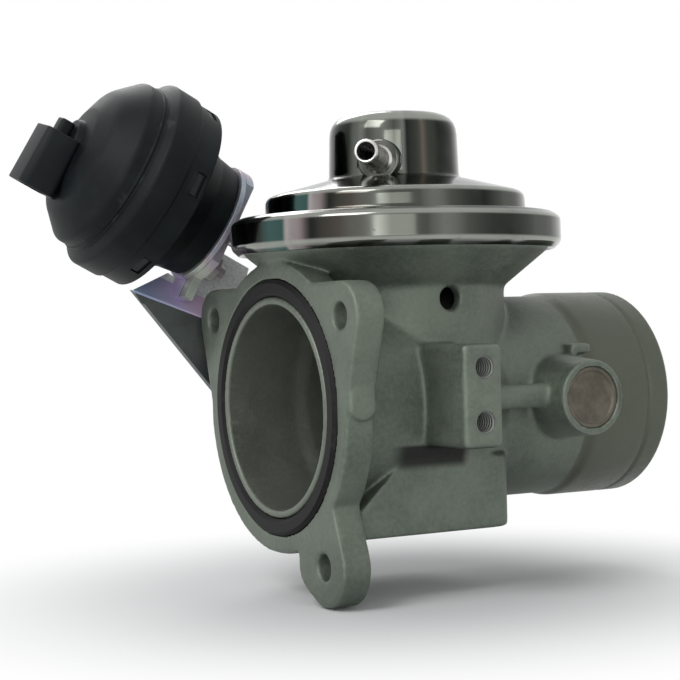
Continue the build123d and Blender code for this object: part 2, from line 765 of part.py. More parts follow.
def make_shaft_seal():
    return cross_tube(shaft_seal_radius, shaft_radius + running_gap, shaft_x, shaft_z, shaft_seal_y,
                      rear_boss_face - shaft_seal_sink)


def make_core_plug():
    """Dished plug that closes the shaft's blind end."""
    plane = Plane(origin=(shaft_x, 0, shaft_z), x_dir=(1, 0, 0), z_dir=(0, -1, 0))
    face = plug_seat + plug_thickness
    return ring_profile(
        [(0, plug_seat), (plug_radius, plug_seat), (plug_radius, face), (plug_radius - plug_dish / 2, face),
         (plug_radius - plug_dish, face - plug_dish_depth), (0, face - plug_dish_depth)], plane)


def make_throttle_shaft():
    """Cross shaft with a slot for the flap, screw holes and a stepped end for the lever."""
    shaft = cross_rod(shaft_radius, shaft_x, shaft_z, shaft_end_gap - plug_seat, lever_y)
    shaft += cross_rod(lever_stud_radius, shaft_x, shaft_z, lever_y, lever_end + nut_height + stud_run_out)
    shaft -= Pos(shaft_x, 0, shaft_z) * Box(3 * shaft_radius, 2 * flap_radius, flap_thickness)
    for side in (-1, 1):
        shaft -= Pos(shaft_x, side * flap_screw_y, shaft_z) * Cylinder(flap_screw_radius, 3 * shaft_radius)
        seat = shaft_z + shaft_radius - flap_seat_depth
        cut = Cylinder(flap_screw_head, 2 * shaft_radius)
        shaft -= Pos(shaft_x, side * flap_screw_y, seat + shaft_radius) * cut
    return shaft


def make_throttle_flap():
    flap = Pos(shaft_x, 0, shaft_z) * Cylinder(flap_radius, flap_thickness)
    for side in (-1, 1):
        flap -= Pos(shaft_x, side * flap_screw_y, shaft_z) * Cylinder(flap_screw_radius, 3 * flap_thickness)
    return flap


def make_flap_screws():
    seat = shaft_z + shaft_radius - 1
    foot = shaft_z - shaft_radius
    screws = Part()
    for side in (-1, 1):
        axis = Plane(origin=(shaft_x, side * flap_screw_y, 0))
        top = seat + flap_screw_head_height
        screw = rod(flap_screw_radius, foot, seat, axis) + rod(flap_screw_head, seat, top, axis)
        slot = axis * Pos(0, 0, top) * Box(screw_slot[0], 3 * flap_screw_head, screw_slot[1])
        screws += screw - slot
    return screws


def make_throttle_lever():
    """Flat lever with an eye for the rod's pin and an arm that meets the stop screw."""
    plate = hull((0, 0, lever_hub_radius), (lever_length, 0, lever_eye_radius))
    turn = radians(stop_arm_turn)
    arm_end = (stop_arm_length * cos(turn), stop_arm_length * sin(turn), stop_arm_width / 2)
    plate += hull((0, 0, stop_arm_width / 2), arm_end)
    plate -= Circle(lever_stud_radius)
    plate -= Pos(lever_length, 0) * Circle(lever_pin_radius)
    return across(Pos(shaft_x, shaft_z) * Rot(0, 0, rod_end_turn) * plate, lever_y, lever_end)


def make_lever_nut():
    outline = Pos(shaft_x, shaft_z) * (
        RegularPolygon(lever_nut_flats, 6, major_radius=False) - Circle(lever_stud_radius))
    return across(outline, lever_end, lever_end + nut_height)


def make_lever_pin():
    """Riveted pin with a collar that spaces the rod end, and a groove for its clip."""
    groove = actuator_y + rod_end_thickness / 2 + slide_gap
    end = groove + pin_clip_thickness + pin_end
    pin = cross_rod(lever_pin_radius, pin_x, pin_z, lever_y - pin_neck_depth, end)
    pin += cross_rod(lever_pin_radius + pin_head_wall, pin_x, pin_z, lever_y - pin_neck_depth, lever_y)
    collar_end = actuator_y - rod_end_thickness / 2 - slide_gap
    pin += cross_rod(pin_collar_radius, pin_x, pin_z, lever_end, collar_end)
    return pin - cross_tube(lever_pin_radius + 1, lever_pin_radius - pin_neck_depth, pin_x, pin_z, groove,
                            groove + pin_clip_thickness)


def make_pin_clip():
    """Open spring clip in the pin's groove."""
    groove = actuator_y + rod_end_thickness / 2 + slide_gap
    outline = Circle(pin_clip_radius) - Circle(lever_pin_radius - pin_neck_depth)
    outline -= Pos(pin_clip_radius, 0) * Rectangle(2 * pin_clip_radius, clip_mouth)
    return across(Pos(pin_x, pin_z) * outline, groove, groove + pin_clip_thickness)


def make_stop_screw():
    plane = stop_plane()
    start = stop_arm_width / 2 + seat_gap
    screw = rod(stop_screw_radius, start, stop_screw_length, plane)
    return screw - plane * Pos(0, 0, stop_screw_length) * Cylinder(stop_screw_socket, 2 * stop_screw_radius)


def make_stop_lock_nut():
    low = stop_lug_reach + stop_lug_size / 2
    return hex_nut(lock_nut_flats, stop_screw_radius, low, low + nut_height, stop_plane())


# ---------------------------------------------------------------- actuator
def make_actuator_bracket():
    """Folded plate: mounting face, wing beside the rod, leaning fold and bolted side plate."""
    face = Circle(bracket_plate_radius)
    face &= Pos(bracket_face_trim[0], 0) * Rectangle(bracket_face_trim[1], 2 * bracket_plate_radius)
    face += Pos(*bracket_tongue[:2]) * Rectangle(*bracket_tongue[2:])
    face -= Circle(bracket_rod_hole)
    for side in (0, 180):
        face -= Rot(0, 0, stud_turn + side) * Pos(stud_circle, 0) * Circle(stud_radius + slide_gap)
    bracket = prism(face, -bracket_sheet, 0, actuator_plane)
    half = bracket_sheet / 2
    bracket += prism(polygon(*bracket_wing), -half, half, rod_side_plane(0, bracket_wing_y))
    bracket += across(polygon(*bracket_side), bracket_y, bracket_y + bracket_sheet)
    near = Plane(origin=(0, bracket_y, 0), x_dir=(1, 0, 0), z_dir=(0, -1, 0))
    far = Plane(origin=(0, bracket_wing_y + half, 0), x_dir=(1, 0, 0), z_dir=(0, -1, 0))
    bracket += loft([
        near * polygon(*bracket_lean_near),
        far * polygon(*bracket_lean_far)])
    outer_face = bracket_y + bracket_sheet
    for x, z in (bracket_hole_a, bracket_hole_b):
        bracket -= cross_rod(bracket_screw_radius + slide_gap, x, z, bracket_y - 1, outer_face + 1)
    return bracket


def make_bracket_screws():
    screws = Part()
    face = bracket_y + bracket_sheet
    for x, z in (bracket_hole_a, bracket_hole_b):
        shank = cross_rod(bracket_screw_radius, x, z, face - bracket_screw_length, face)
        outline = Pos(x, z) * RegularPolygon(bracket_screw_head, 6, major_radius=False)
        screws += shank + across(outline, face, face + bracket_screw_head_height)
    return screws


def rod_side_plane(height, y):
    """Upright plane beside the rod, at a height above the actuator's: x back along the rod, y up."""
    origin = actuator_plane.origin + pull * height
    return Plane(origin=(origin.X, y, origin.Z), x_dir=(-pull.X, 0, -pull.Z), z_dir=(0, -1, 0))


def studs():
    """Middle points of the actuator's two studs, on its mounting plane."""
    return [Rot(0, 0, stud_turn + side) * Pos(stud_circle, 0, 0) for side in (0, 180)]


def make_actuator_base():
    """Plated ring with the two studs that pass through the bracket."""
    base = tube(base_ring_radius, guide_radius, 0, base_ring_thickness, actuator_plane)
    for place in studs():
        base += actuator_plane * place * Pos(0, 0, -stud_length / 2) * Cylinder(stud_radius, stud_length)
    return base


def make_actuator_stud_nuts():
    nuts = Part()
    for place in studs():
        outline = RegularPolygon(stud_nut_flats, 6, major_radius=False) - Circle(stud_radius)
        nut = extrude(outline, amount=nut_height, dir=(0, 0, 1))
        nuts += actuator_plane * place * Pos(0, 0, -bracket_sheet - nut_height) * nut
    return nuts


def snap_box(width, low, high, radius):
    """Block at the skirt that cuts a window or makes a nose."""
    return Pos(radius, 0, (low + high) / 2) * Box(snap_depth, width, high - low)


def make_actuator_can():
    """Moulded lower can with a flange, snap noses and a guide pocket in its floor."""
    base = base_ring_thickness
    floor = base + moulding_wall
    inner = can_waist_radius - can_lip_chamfer
    can = ring_profile(
        [(guide_radius, base), (can_foot_radius, base), (can_foot_radius + can_bulge, can_bulge_height),
         (can_waist_radius, can_waist), (can_flange_radius - can_lip_run, can_waist + can_lip),
         (can_flange_radius, can_waist + can_lip + can_lip_chamfer), (can_flange_radius, can_flange),
         (inner, can_flange), (inner, can_waist + can_lip),
         (can_foot_radius + can_bulge - moulding_wall, can_bulge_height + can_bulge),
         (can_foot_radius - moulding_wall, floor),
         (guide_radius, floor)], actuator_plane)
    for index in range(snap_count):
        nose = Rot(0, 0, index * 360 / snap_count) * snap_box(
            snap_width - snap_play, snap_bottom + snap_play, snap_top - snap_play / 3,
            can_flange_radius - 3 * snap_bite)
        can += actuator_plane * nose
    return can


def make_rod_guide():
    """Flanged plain bush in the can's floor."""
    floor = base_ring_thickness + moulding_wall
    return ring_profile(
        [(rod_radius + running_gap, 0), (guide_radius, 0), (guide_radius, floor),
         (guide_radius + guide_flange, floor), (guide_radius + guide_flange, guide_top),
         (rod_radius + running_gap, guide_top)], actuator_plane)


def make_actuator_diaphragm():
    """Rolled diaphragm with a thick bead between the can and the cap."""
    top = piston_bottom + piston_thickness
    wall = can_waist_radius - fold_shift
    over = top + actuator_diaphragm_thickness
    return ring_profile(
        [(rod_radius, top), (piston_radius, top), (piston_radius + fold_depth, top + fold_depth),
         (wall - 2 * fold_shift, can_flange - actuator_diaphragm_thickness), (wall, can_flange),
         (can_flange_radius, can_flange), (can_flange_radius, skirt_step),
         (wall, skirt_step), (wall - 2 * actuator_diaphragm_thickness, can_flange - fold_shift),
         (piston_radius + actuator_diaphragm_thickness, top + fold_depth + fold_shift),
         (piston_radius - fold_shift, over), (rod_radius, over)],
        actuator_plane)


def shroud_frame():
    """Plane at the connector's middle: x across it, y out of its mouth."""
    middle = shroud_top - shroud_height / 2
    return actuator_plane * Pos(0, 0, middle) * Rot(0, 0, -shroud_turn)


def blades(gap=0.0):
    """Three flat terminals, standing in the connector's back wall."""
    thick, wide = blade_section
    back = shroud_root + shroud_length - socket_depth
    row = Part()
    for step in (-1, 0, 1):
        row += Pos(step * blade_pitch, back - blade_root + blade_length / 2, 0) * Box(
            thick + gap, blade_length, wide + gap)
    return shroud_frame() * row


def dome(radius, top):
    """Points of the cap's roof, from its drum's edge up to the middle."""
    rise = top - cap_drum_top
    return [(radius * run, cap_drum_top + rise * height) for run, height in dome_shares]


def make_actuator_cap():
    """Moulded cap: skirt with snap windows, banded drum, dome, connector shroud and vacuum nipple."""
    inner = can_flange_radius + skirt_gap
    drum = cap_drum_radius - moulding_wall
    cap = ring_profile(
        [(skirt_radius, skirt_bottom), (skirt_radius, skirt_step), (cap_band_radius, skirt_step),
         (cap_band_radius, cap_band_top), (cap_drum_radius + band_fall[0], cap_band_top + band_fall[1]),
         (cap_drum_radius, cap_band_top + band_fall[1] + band_foot), (cap_drum_radius, cap_drum_top),
         *dome(cap_drum_radius, cap_dome_top), *reversed(dome(drum, cap_dome_top - moulding_wall)),
         (drum, cap_drum_top), (drum, skirt_step), (inner, skirt_step),
         (inner, skirt_bottom)], actuator_plane)
    for index in range(snap_count):
        window = Rot(0, 0, index * 360 / snap_count) * snap_box(
            snap_width, snap_bottom, snap_top, skirt_radius - snap_bite)
        cap -= actuator_plane * window
    outside = Pos(0, shroud_root + shroud_length / 2, 0) * Box(shroud_width, shroud_length, shroud_height)
    outside = fillet(outside.edges().filter_by(Axis.Y), shroud_round)
    hollow = Pos(0, shroud_root + shroud_length + (1 - socket_depth) / 2, 0) * Box(
        shroud_width - 2 * shroud_wall, socket_depth + 1, shroud_height - 2 * shroud_wall)
    hollow = fillet(hollow.edges().filter_by(Axis.Y), shroud_round - shroud_wall / 2)
    pedestal_foot = cap_dome_top - moulding_wall / 2
    pedestal = rod(pedestal_radius, pedestal_foot, cap_dome_top + pedestal_height, actuator_plane)
    tab_y = shroud_root + shroud_length - shroud_tab[1] / 2
    tab = Pos(0, tab_y, -shroud_height / 2 - shroud_tab[2] / 2) * Box(*shroud_tab)
    nub = Pos(0, shroud_root - shroud_nub[1] / 2, 0) * Box(*shroud_nub)
    cap += pedestal
    cap += shroud_frame() * (outside + tab + nub)
    cap -= shroud_frame() * hollow
    cap -= blades()
    side = Plane(actuator_plane * Pos(0, 0, port_height) * Rot(0, 90, 0))
    cap += rod(port_radius, drum, port_reach, side)
    cap += ring_profile(
        [(0, drum), (port_root_radius, drum), (port_root_radius, port_root_reach),
         (port_radius, port_root_reach + port_root_radius - port_radius),
         (0, port_root_reach + port_root_radius - port_radius)], side)
    cap -= rod(port_bore, drum - 1, port_reach + 1, side)
    return cap


def make_position_sensor():
    """Sealed sensor block under the cap's roof."""
    top = cap_dome_top - moulding_wall - sensor_gap
    return actuator_plane * Pos(0, 0, top - sensor_height / 2) * Box(
        sensor_size, sensor_size, sensor_height)


def make_actuator_piston():
    """Disc and rim that carry the diaphragm."""
    top = piston_bottom + piston_thickness
    return tube(piston_radius, rod_radius, piston_bottom, top, actuator_plane)


def spring_cup_floor():
    return piston_bottom + piston_thickness + actuator_diaphragm_thickness


def make_spring_cup():
    """Pressed cup that clamps the diaphragm and centres the spring."""
    low = spring_cup_floor()
    return ring_profile(
        [(rod_radius, low), (spring_cup_radius, low), (spring_cup_radius, low + spring_cup_lip),
         (spring_cup_radius - spring_cup_sheet, low + spring_cup_lip),
         (spring_cup_radius - spring_cup_sheet, low + spring_cup_sheet),
         (rod_radius, low + spring_cup_sheet)], actuator_plane)


def make_actuator_spring():
    low = spring_cup_floor() + spring_cup_sheet
    return coil(actuator_spring_radius, actuator_spring_wire, low + spring_end_gap, actuator_spring_top,
                actuator_spring_turns, actuator_plane)


def make_sensor_magnet():
    low = spring_cup_floor() + spring_cup_sheet
    return rod(magnet_radius, low, low + magnet_length, actuator_plane)


def make_pull_rod():
    """Rod from the piston to the rod end's thread."""
    end = eye_height + lever_pin_radius + pin_gap + rod_end_wall + 1
    return rod(rod_radius, end, spring_cup_floor() + spring_cup_sheet, actuator_plane)


def rod_end_shoulder():
    """Height where the rod end's shank starts, clear of the pin's clip and collar."""
    return eye_height + pin_clip_radius + pin_gap + slide_gap


def make_rod_end():
    """Flat eye with a slot for the lever's pin and a threaded shank."""
    along = lever_pin_radius + pin_gap
    rise = lever_pin_radius + eye_rise + pin_play
    shank_start = rod_end_shoulder()
    shank_end = shank_start + rod_end_shank
    flat = rod_side_plane(eye_height, actuator_y)
    outline = RectangleRounded(2 * (along + rod_end_wall), 2 * (rise + rod_end_wall), rod_end_round)
    outline -= RectangleRounded(2 * along, 2 * rise, lever_pin_radius - slot_relief)
    half = rod_end_thickness / 2
    eye = prism(outline, -half, half, flat)
    shank = rod(rod_end_shank_radius, shank_start, shank_end, actuator_plane)
    end = eye_height + along + rod_end_wall + 1
    return eye + shank - rod(rod_radius, end, shank_end + 1, actuator_plane)


def make_rod_lock_nut():
    low = rod_end_shoulder() + rod_end_shank
    return hex_nut(lock_nut_flats, rod_radius, low, low + nut_height, actuator_plane)


makers = {
    "housing": make_housing, "flange_seal": make_flange_seal, "core_plug": make_core_plug,
    "valve_seat": make_valve_seat, "valve_head": make_valve_head, "valve_stem": make_valve_stem,
    "stem_bush": make_stem_bush, "stem_seal": make_stem_seal, "egr_diaphragm": make_egr_diaphragm,
    "lower_diaphragm_plate": make_lower_diaphragm_plate,
    "upper_diaphragm_plate": make_upper_diaphragm_plate, "stem_nut": make_stem_nut,
    "egr_spring": make_egr_spring, "can_cover": make_can_cover, "vacuum_nipple": make_vacuum_nipple,
    "front_shaft_bush": make_front_shaft_bush, "rear_shaft_bush": make_rear_shaft_bush,
    "shaft_seal": make_shaft_seal, "throttle_shaft": make_throttle_shaft,
    "throttle_flap": make_throttle_flap, "flap_screws": make_flap_screws,
    "throttle_lever": make_throttle_lever, "lever_nut": make_lever_nut, "lever_pin": make_lever_pin,
    "pin_clip": make_pin_clip, "stop_screw": make_stop_screw, "stop_lock_nut": make_stop_lock_nut,
    "actuator_bracket": make_actuator_bracket, "bracket_screws": make_bracket_screws,
    "actuator_base": make_actuator_base, "actuator_stud_nuts": make_actuator_stud_nuts,
    "actuator_can": make_actuator_can, "rod_guide": make_rod_guide,
    "actuator_diaphragm": make_actuator_diaphragm, "actuator_cap": make_actuator_cap,
    "connector_terminals": blades, "position_sensor": make_position_sensor,
    "actuator_piston": make_actuator_piston, "spring_cup": make_spring_cup,
    "actuator_spring": make_actuator_spring, "sensor_magnet": make_sensor_magnet,
    "pull_rod": make_pull_rod, "rod_end": make_rod_end, "rod_lock_nut": make_rod_lock_nut,
}
for node, make in makers.items():
    save(make(), node)
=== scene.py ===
import json
from math import cos, pi, radians, sin, sqrt

import bmesh
import bpy
from bpy.props import FloatProperty, FloatVectorProperty, IntProperty, PointerProperty
from mathutils import Matrix, Vector


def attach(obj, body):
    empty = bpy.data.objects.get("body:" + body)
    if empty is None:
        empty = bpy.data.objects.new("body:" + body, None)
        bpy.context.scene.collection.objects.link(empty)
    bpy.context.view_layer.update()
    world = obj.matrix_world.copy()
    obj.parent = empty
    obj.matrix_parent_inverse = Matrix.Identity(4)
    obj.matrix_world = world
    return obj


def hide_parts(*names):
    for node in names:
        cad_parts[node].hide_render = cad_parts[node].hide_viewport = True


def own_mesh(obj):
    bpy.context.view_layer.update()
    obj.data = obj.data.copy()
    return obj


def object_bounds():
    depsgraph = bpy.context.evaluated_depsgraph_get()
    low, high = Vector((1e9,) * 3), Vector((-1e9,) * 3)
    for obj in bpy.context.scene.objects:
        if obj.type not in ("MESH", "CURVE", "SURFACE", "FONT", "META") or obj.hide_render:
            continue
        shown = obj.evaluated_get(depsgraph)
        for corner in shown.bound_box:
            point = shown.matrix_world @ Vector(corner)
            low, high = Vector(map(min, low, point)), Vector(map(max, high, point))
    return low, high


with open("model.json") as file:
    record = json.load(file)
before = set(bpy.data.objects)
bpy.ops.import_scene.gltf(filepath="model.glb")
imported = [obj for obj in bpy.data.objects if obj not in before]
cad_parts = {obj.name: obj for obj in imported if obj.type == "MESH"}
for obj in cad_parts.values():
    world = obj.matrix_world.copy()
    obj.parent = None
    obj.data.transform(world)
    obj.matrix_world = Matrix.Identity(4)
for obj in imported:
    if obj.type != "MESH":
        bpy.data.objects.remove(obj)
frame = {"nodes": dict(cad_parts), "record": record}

bl_info = {
    "name": "EGR valve with throttle flap",
    "version": (1, 0, 0),
    "blender": (4, 5, 0),
    "location": "3D View > Sidebar > EGR valve",
    "description": "Dresses the packed exhaust-gas recirculation valve piece by piece",
    "category": "Object",
}

CAD_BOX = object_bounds()
NODES = frame["nodes"]
RECORD = frame["record"]
BODY_OF = {node: body for body, nodes in RECORD["behaviour"]["bodies"].items() for node in nodes}
SLOT_OF = {part["node"]: part["material_slot"] for part in RECORD["subparts"]}

# ---------------------------------------------------------------- sizes and places
# In millimetres. The origin is the middle of the outlet port at the flange's face, x runs
# along the duct to the hose spigot, z is up and the linkage is on the +y side.
MM = 0.001
VALVE_X = 37.96                                   # axis of the exhaust valve and its can
VALVE_LIFT = 6.0
SHAFT = Vector((71.8, 0, 0.5))                    # middle of the throttle shaft
SIDE_BOLTS = ((32.5, -3.65), (32.5, 9.65))        # (x, z) of the side boss's tapped holes
SIDE_THREAD = (-48.6, -34.5)                      # y from end to end
FOOT_BOLTS = ((VALVE_X, -20.0), (VALVE_X, 20.0))  # (x, y) of the exhaust block's tapped holes
FOOT_THREAD = (-32.3, -22.2)                      # z from end to end
THREAD_WALL = (2.75, 2.95)                        # radii between which a thread's tone ends
NIPPLE_Z = 61.9
NIPPLE_TURN = radians(226)                        # of the vacuum nipple about the can
NIPPLE_RISE = 0.06
TILT = radians(28.0)                              # of the actuator's rod
ROD_PULL = 18.0
ROD_WAY = Vector((-cos(TILT), 0, sin(TILT)))
ACTUATOR_FOOT = (4.9, 46.0, 50.0725)              # where the rod leaves the mounting ring
SOCKET_HEIGHT = 49.7                              # of the connector along the actuator
SOCKET_TURN = radians(-12)
PORT_HEIGHT = 33.2                                # of the actuator's own vacuum nipple

# Corners of turned profiles: radius, height along the axis, and how far the corner is rounded.
COVER = [
    (41.1, 40.3, 0.3), (41.9, 39.4, 0.6), (43.6, 41.0, 1.4), (43.95, 42.0, 1.0), (43.9, 47.9, 1.9),
    (41.8, 49.2, 1.4), (34.8, 49.3, 1.3), (34.5, 54.75, 2.4), (17.4, 59.2, 1.6), (16.85, 76.1, 6.0),
    (0, 76.6, 0), (0, 75.5, 0), (15.7, 75.0, 5.0), (16.2, 58.2, 0.8), (33.2, 53.7, 1.4),
    (33.8, 48.25, 0.2), (42.5, 48.25, 0), (42.5, 41.0, 0), (41.1, 41.0, 0),
]
COVER_PAD = [(0, 14.4, 0), (6.6, 14.4, 0), (5.5, 17.3, 0.8), (5.4, 18.5, 0.6), (0, 18.5, 0)]
NIPPLE = [
    (2.3, 15.7, 0), (3.8, 15.7, 0), (3.8, 18.7, 0.3), (3.1, 19.5, 0.5), (3.1, 31.7, 0.4),
    (2.75, 32.3, 0.2), (2.3, 32.1, 0.2),
]
PLUG = [
    (0, 38.4, 0), (8.0, 38.4, 0.2), (8.0, 39.6, 0.35), (7.0, 39.6, 0.3), (6.6, 39.15, 0.5),
    (0, 39.1, 0),
]
CAP = [
    (27.1, 15.2, 0.3), (27.1, 22.0, 0.3), (27.9, 22.0, 0.5), (27.9, 29.3, 1.5), (25.5, 30.9, 0.6),
    (24.75, 31.3, 0.3), (24.6, 31.9, 0.2), (24.95, 32.1, 0.15), (24.95, 32.5, 0.15),
    (24.5, 32.7, 0.2), (24.5, 36.0, 2.4), (18.4, 42.3, 7.0), (11.5, 45.0, 5.0), (0, 46.6, 0),
    (0, 44.4, 0), (11.0, 43.0, 3.0), (17.0, 40.3, 3.0), (21.9, 35.6, 2.0), (22.3, 22.0, 0.3),
    (26.15, 22.0, 0), (26.15, 15.2, 0),
]
CAP_TOP = [(0, 45.4, 0), (7.2, 45.4, 0), (6.5, 47.4, 0.6), (0, 47.4, 0)]
CAP_PORT = [
    (0, 23.0, 0), (4.2, 23.0, 0), (4.2, 28.0, 0.3), (3.0, 29.2, 0.4), (3.0, 38.0, 0.4),
    (0, 38.0, 0),
]
CAN = [
    (4.6, 1.6, 0), (16.6, 1.6, 0.8), (17.5, 8.0, 2.0), (20.2, 14.0, 2.5), (24.5, 16.6, 0.8),
    (26.0, 17.0, 0.4), (26.0, 20.5, 0), (19.8, 20.5, 0), (19.8, 16.6, 0.5), (15.3, 8.9, 1.0),
    (14.4, 3.8, 0.6), (4.6, 3.8, 0),
]

# Bores cut through turned pieces: radius, start, end along the axis.
COVER_INSIDE = (14.0, 56.0, 73.0)
NIPPLE_HOLE = (3.8, 10.0, 25.0)
PORT_BORE = (1.6, 20.0, 40.0)

# Moulded blocks: middle, size, radius of the edges along y, radius of all the other edges.
SHROUD = ((0, 7.45, 0), (15.0, 16.5, 10.6), 2.2, 0.35)
SHROUD_NUB = ((0, -2.6, 0), (6.0, 4.4, 4.0), 1.2, 0.4)
SHROUD_TAB = ((0, 13.2, -6.1), (7.0, 5.0, 2.0), 0.5, 0.3)
SHROUD_HOLLOW = ((0, 10.45, 0), (11.6, 12.5, 7.2), 1.3)
SNAP_WINDOW = ((27.4, 0, 17.9), (2.2, 7.0, 2.6))
SNAP_NOSE = ((25.8, 0, 18.2), (1.8, 6.0, 1.6))
SNAPS = 6                    # windows round the cap, and noses round the can

# Painted reflections and highlights of the can: the way across it and the colours of its streaks.
REFLECTION_WAY = (0.8688, -0.4952, 0.0)    # across the can, from the first tint to the last
ROLL_HIGHLIGHTS = ((41.2, 1.1), (47.9, 0.9), (54.6, 1.0), (74.6, 1.6))    # height and half width
PALE = (0.15, 0.155, 0.14)
SLATE = (0.05, 0.053, 0.045)
BROWN = (0.12, 0.10, 0.08)
UMBER = (0.070, 0.062, 0.053)
TEAL = (0.045, 0.095, 0.088)
DEEP_TEAL = (0.04, 0.085, 0.078)
ROSE = (0.36, 0.33, 0.33)
DULL_ROSE = (0.20, 0.165, 0.165)

# Width of the bevel on the edges of pressed, turned and threaded pieces.
BEVELS = {
    "actuator_bracket": 0.5, "actuator_base": 0.25, "bracket_screws": 0.3,
    "actuator_stud_nuts": 0.3, "flange_seal": 0.25, "throttle_lever": 0.3, "lever_nut": 0.3,
    "stop_lock_nut": 0.25, "rod_lock_nut": 0.25, "rod_end": 0.3, "pin_clip": 0.12,
    "throttle_flap": 0.15, "stop_screw": 0.2, "throttle_shaft": 0.2, "valve_head": 0.15,
    "valve_seat": 0.15,
}

MERGE = 0.001                # points of a CAD solid nearer than this are one
NEARLY_HALF = 0.48           # most of a profile's side that one corner's rounding may take
CREASE = 32.0                # degrees between faces from which an edge shows sharp
TURNED_CREASE = 50.0
MOULDED_CREASE = 38.0
COIL_CREASE = 60.0
BOX_CREASE = 40.0            # of a block's edges that take the smaller radius
FLAT = 0.8                   # degrees under which two faces are one
ALONG = 0.9                  # least share of y in an edge that runs along y
CASTING_TRIANGLES = 190000   # most that the cast housing may have
GROOVE_CUT = (4.0, 34.5)     # depth and radius that hold the flange's machined seal groove
SPIGOT_CUT = 97.0            # x from which the spigot keeps its machined edges
PLUG_CUT = (-38.0, 10.0)     # y and radius that hold the machined recess of the core plug

# ---------------------------------------------------------------- stage
STAGE_X = 30.0                                    # middle of the floor
FLOOR_RADIUS = 4000.0
FLOOR_GAP = 0.3                                   # between the part's lowest point and the floor
FLOOR_FADE = (40.0, 140.0)                        # between which the floor turns white
LIT_POINT = (30.0, 0.0, 15.0)                     # that the lamps look at
LAMPS = {                                         # place, side of the soft box, share of the key
    "key_light": ((-850.0, -300.0, 850.0), 600.0, 1.0),
    "fill_light": ((-500.0, -850.0, 120.0), 500.0, 0.32),
    "back_light": ((200.0, 800.0, 700.0), 500.0, 0.5),
}
WHITE = (1.0, 1.0, 1.0)
ROOM = (0.95, 0.98, 1.0)
SEEN_BY = ("Is Camera Ray", "Is Glossy Ray", "Is Transmission Ray")
CAMERA_PLACE = (-194.252, -376.254, 20.173)
CAMERA_RIGHT = Vector((0.8685, -0.4950, -0.0257))
CAMERA_UP = Vector((0.0262, -0.0060, 0.9996))
SENSOR_WIDTH = 36.0
NEAREST = 10.0                                    # start of the camera's view


def axes(origin, along, side):
    """Frame at a place in millimetres: z along a direction, x as near as can be to another."""
    z = Vector(along).normalized()
    x = (Vector(side) - z * Vector(side).dot(z)).normalized()
    turn = Matrix((x, z.cross(x), z)).transposed().to_4x4()
    return Matrix.Translation(Vector(origin) * MM) @ turn


VALVE_AXIS = axes((VALVE_X, 0, 0), (0, 0, 1), (1, 0, 0))
PLUG_AXIS = axes(SHAFT, (0, -1, 0), (1, 0, 0))
NIPPLE_WAY = (cos(NIPPLE_TURN), sin(NIPPLE_TURN), NIPPLE_RISE)
NIPPLE_AXIS = axes((VALVE_X, 0, NIPPLE_Z), NIPPLE_WAY, (0, 0, 1))
ACTUATOR_AXIS = axes(ACTUATOR_FOOT, ROD_WAY, (0, 1, 0))
SOCKET_LIFT = Matrix.Translation((0, 0, SOCKET_HEIGHT * MM))
SOCKET_AXIS = ACTUATOR_AXIS @ SOCKET_LIFT @ Matrix.Rotation(SOCKET_TURN, 4, "Z")
PORT_AXIS = ACTUATOR_AXIS @ axes((0, 0, PORT_HEIGHT), (1, 0, 0), (0, 0, 1))


# ---------------------------------------------------------------- shader maths
class Term:
    """A socket of a node tree, so that shader maths reads as Python."""

    def __init__(self, nodes, socket):
        self.nodes = nodes
        self.socket = socket

    def maths(self, operation, *others):
        inputs = dict(enumerate((self, *others)))
        return self.nodes.add("ShaderNodeMath", {"operation": operation}, inputs)

    def __add__(self, other):
        return self.maths("ADD", other)

    __radd__ = __add__

    def __mul__(self, other):
        return self.maths("MULTIPLY", other)

    __rmul__ = __mul__

    def __sub__(self, other):
        return self.maths("SUBTRACT", other)

    def __rsub__(self, other):
        return self.nodes.add("ShaderNodeMath", {"operation": "SUBTRACT"}, {0: other, 1: self})

    def __truediv__(self, other):
        return self.maths("DIVIDE", other)

    def __pow__(self, other):
        return self.maths("POWER", other)

    def __gt__(self, other):
        return self.maths("GREATER_THAN", other)

    def __lt__(self, other):
        return self.maths("LESS_THAN", other)

    def least(self, other):
        return self.maths("MINIMUM", other)

    def most(self, other):
        return self.maths("MAXIMUM", other)

    def size(self):
        return self.maths("ABSOLUTE")

    def ramp(self, low, high):
        """The value eased from 0 to 1 between two levels."""
        levels = {"Value": self, "From Min": low, "From Max": high}
        return self.nodes.add("ShaderNodeMapRange", {"interpolation_type": "SMOOTHSTEP"}, levels)

    def past(self, start, end):
        """Mask that rises between two lengths in millimetres."""
        return self.ramp(start * MM, end * MM)

    def within(self, start, end):
        """Sharp mask between two lengths in millimetres."""
        return (self > start * MM) * (self < end * MM)

    def part(self, index):
        """One coordinate of a vector."""
        return self.nodes.add("ShaderNodeSeparateXYZ", {}, {0: self}, out=index)


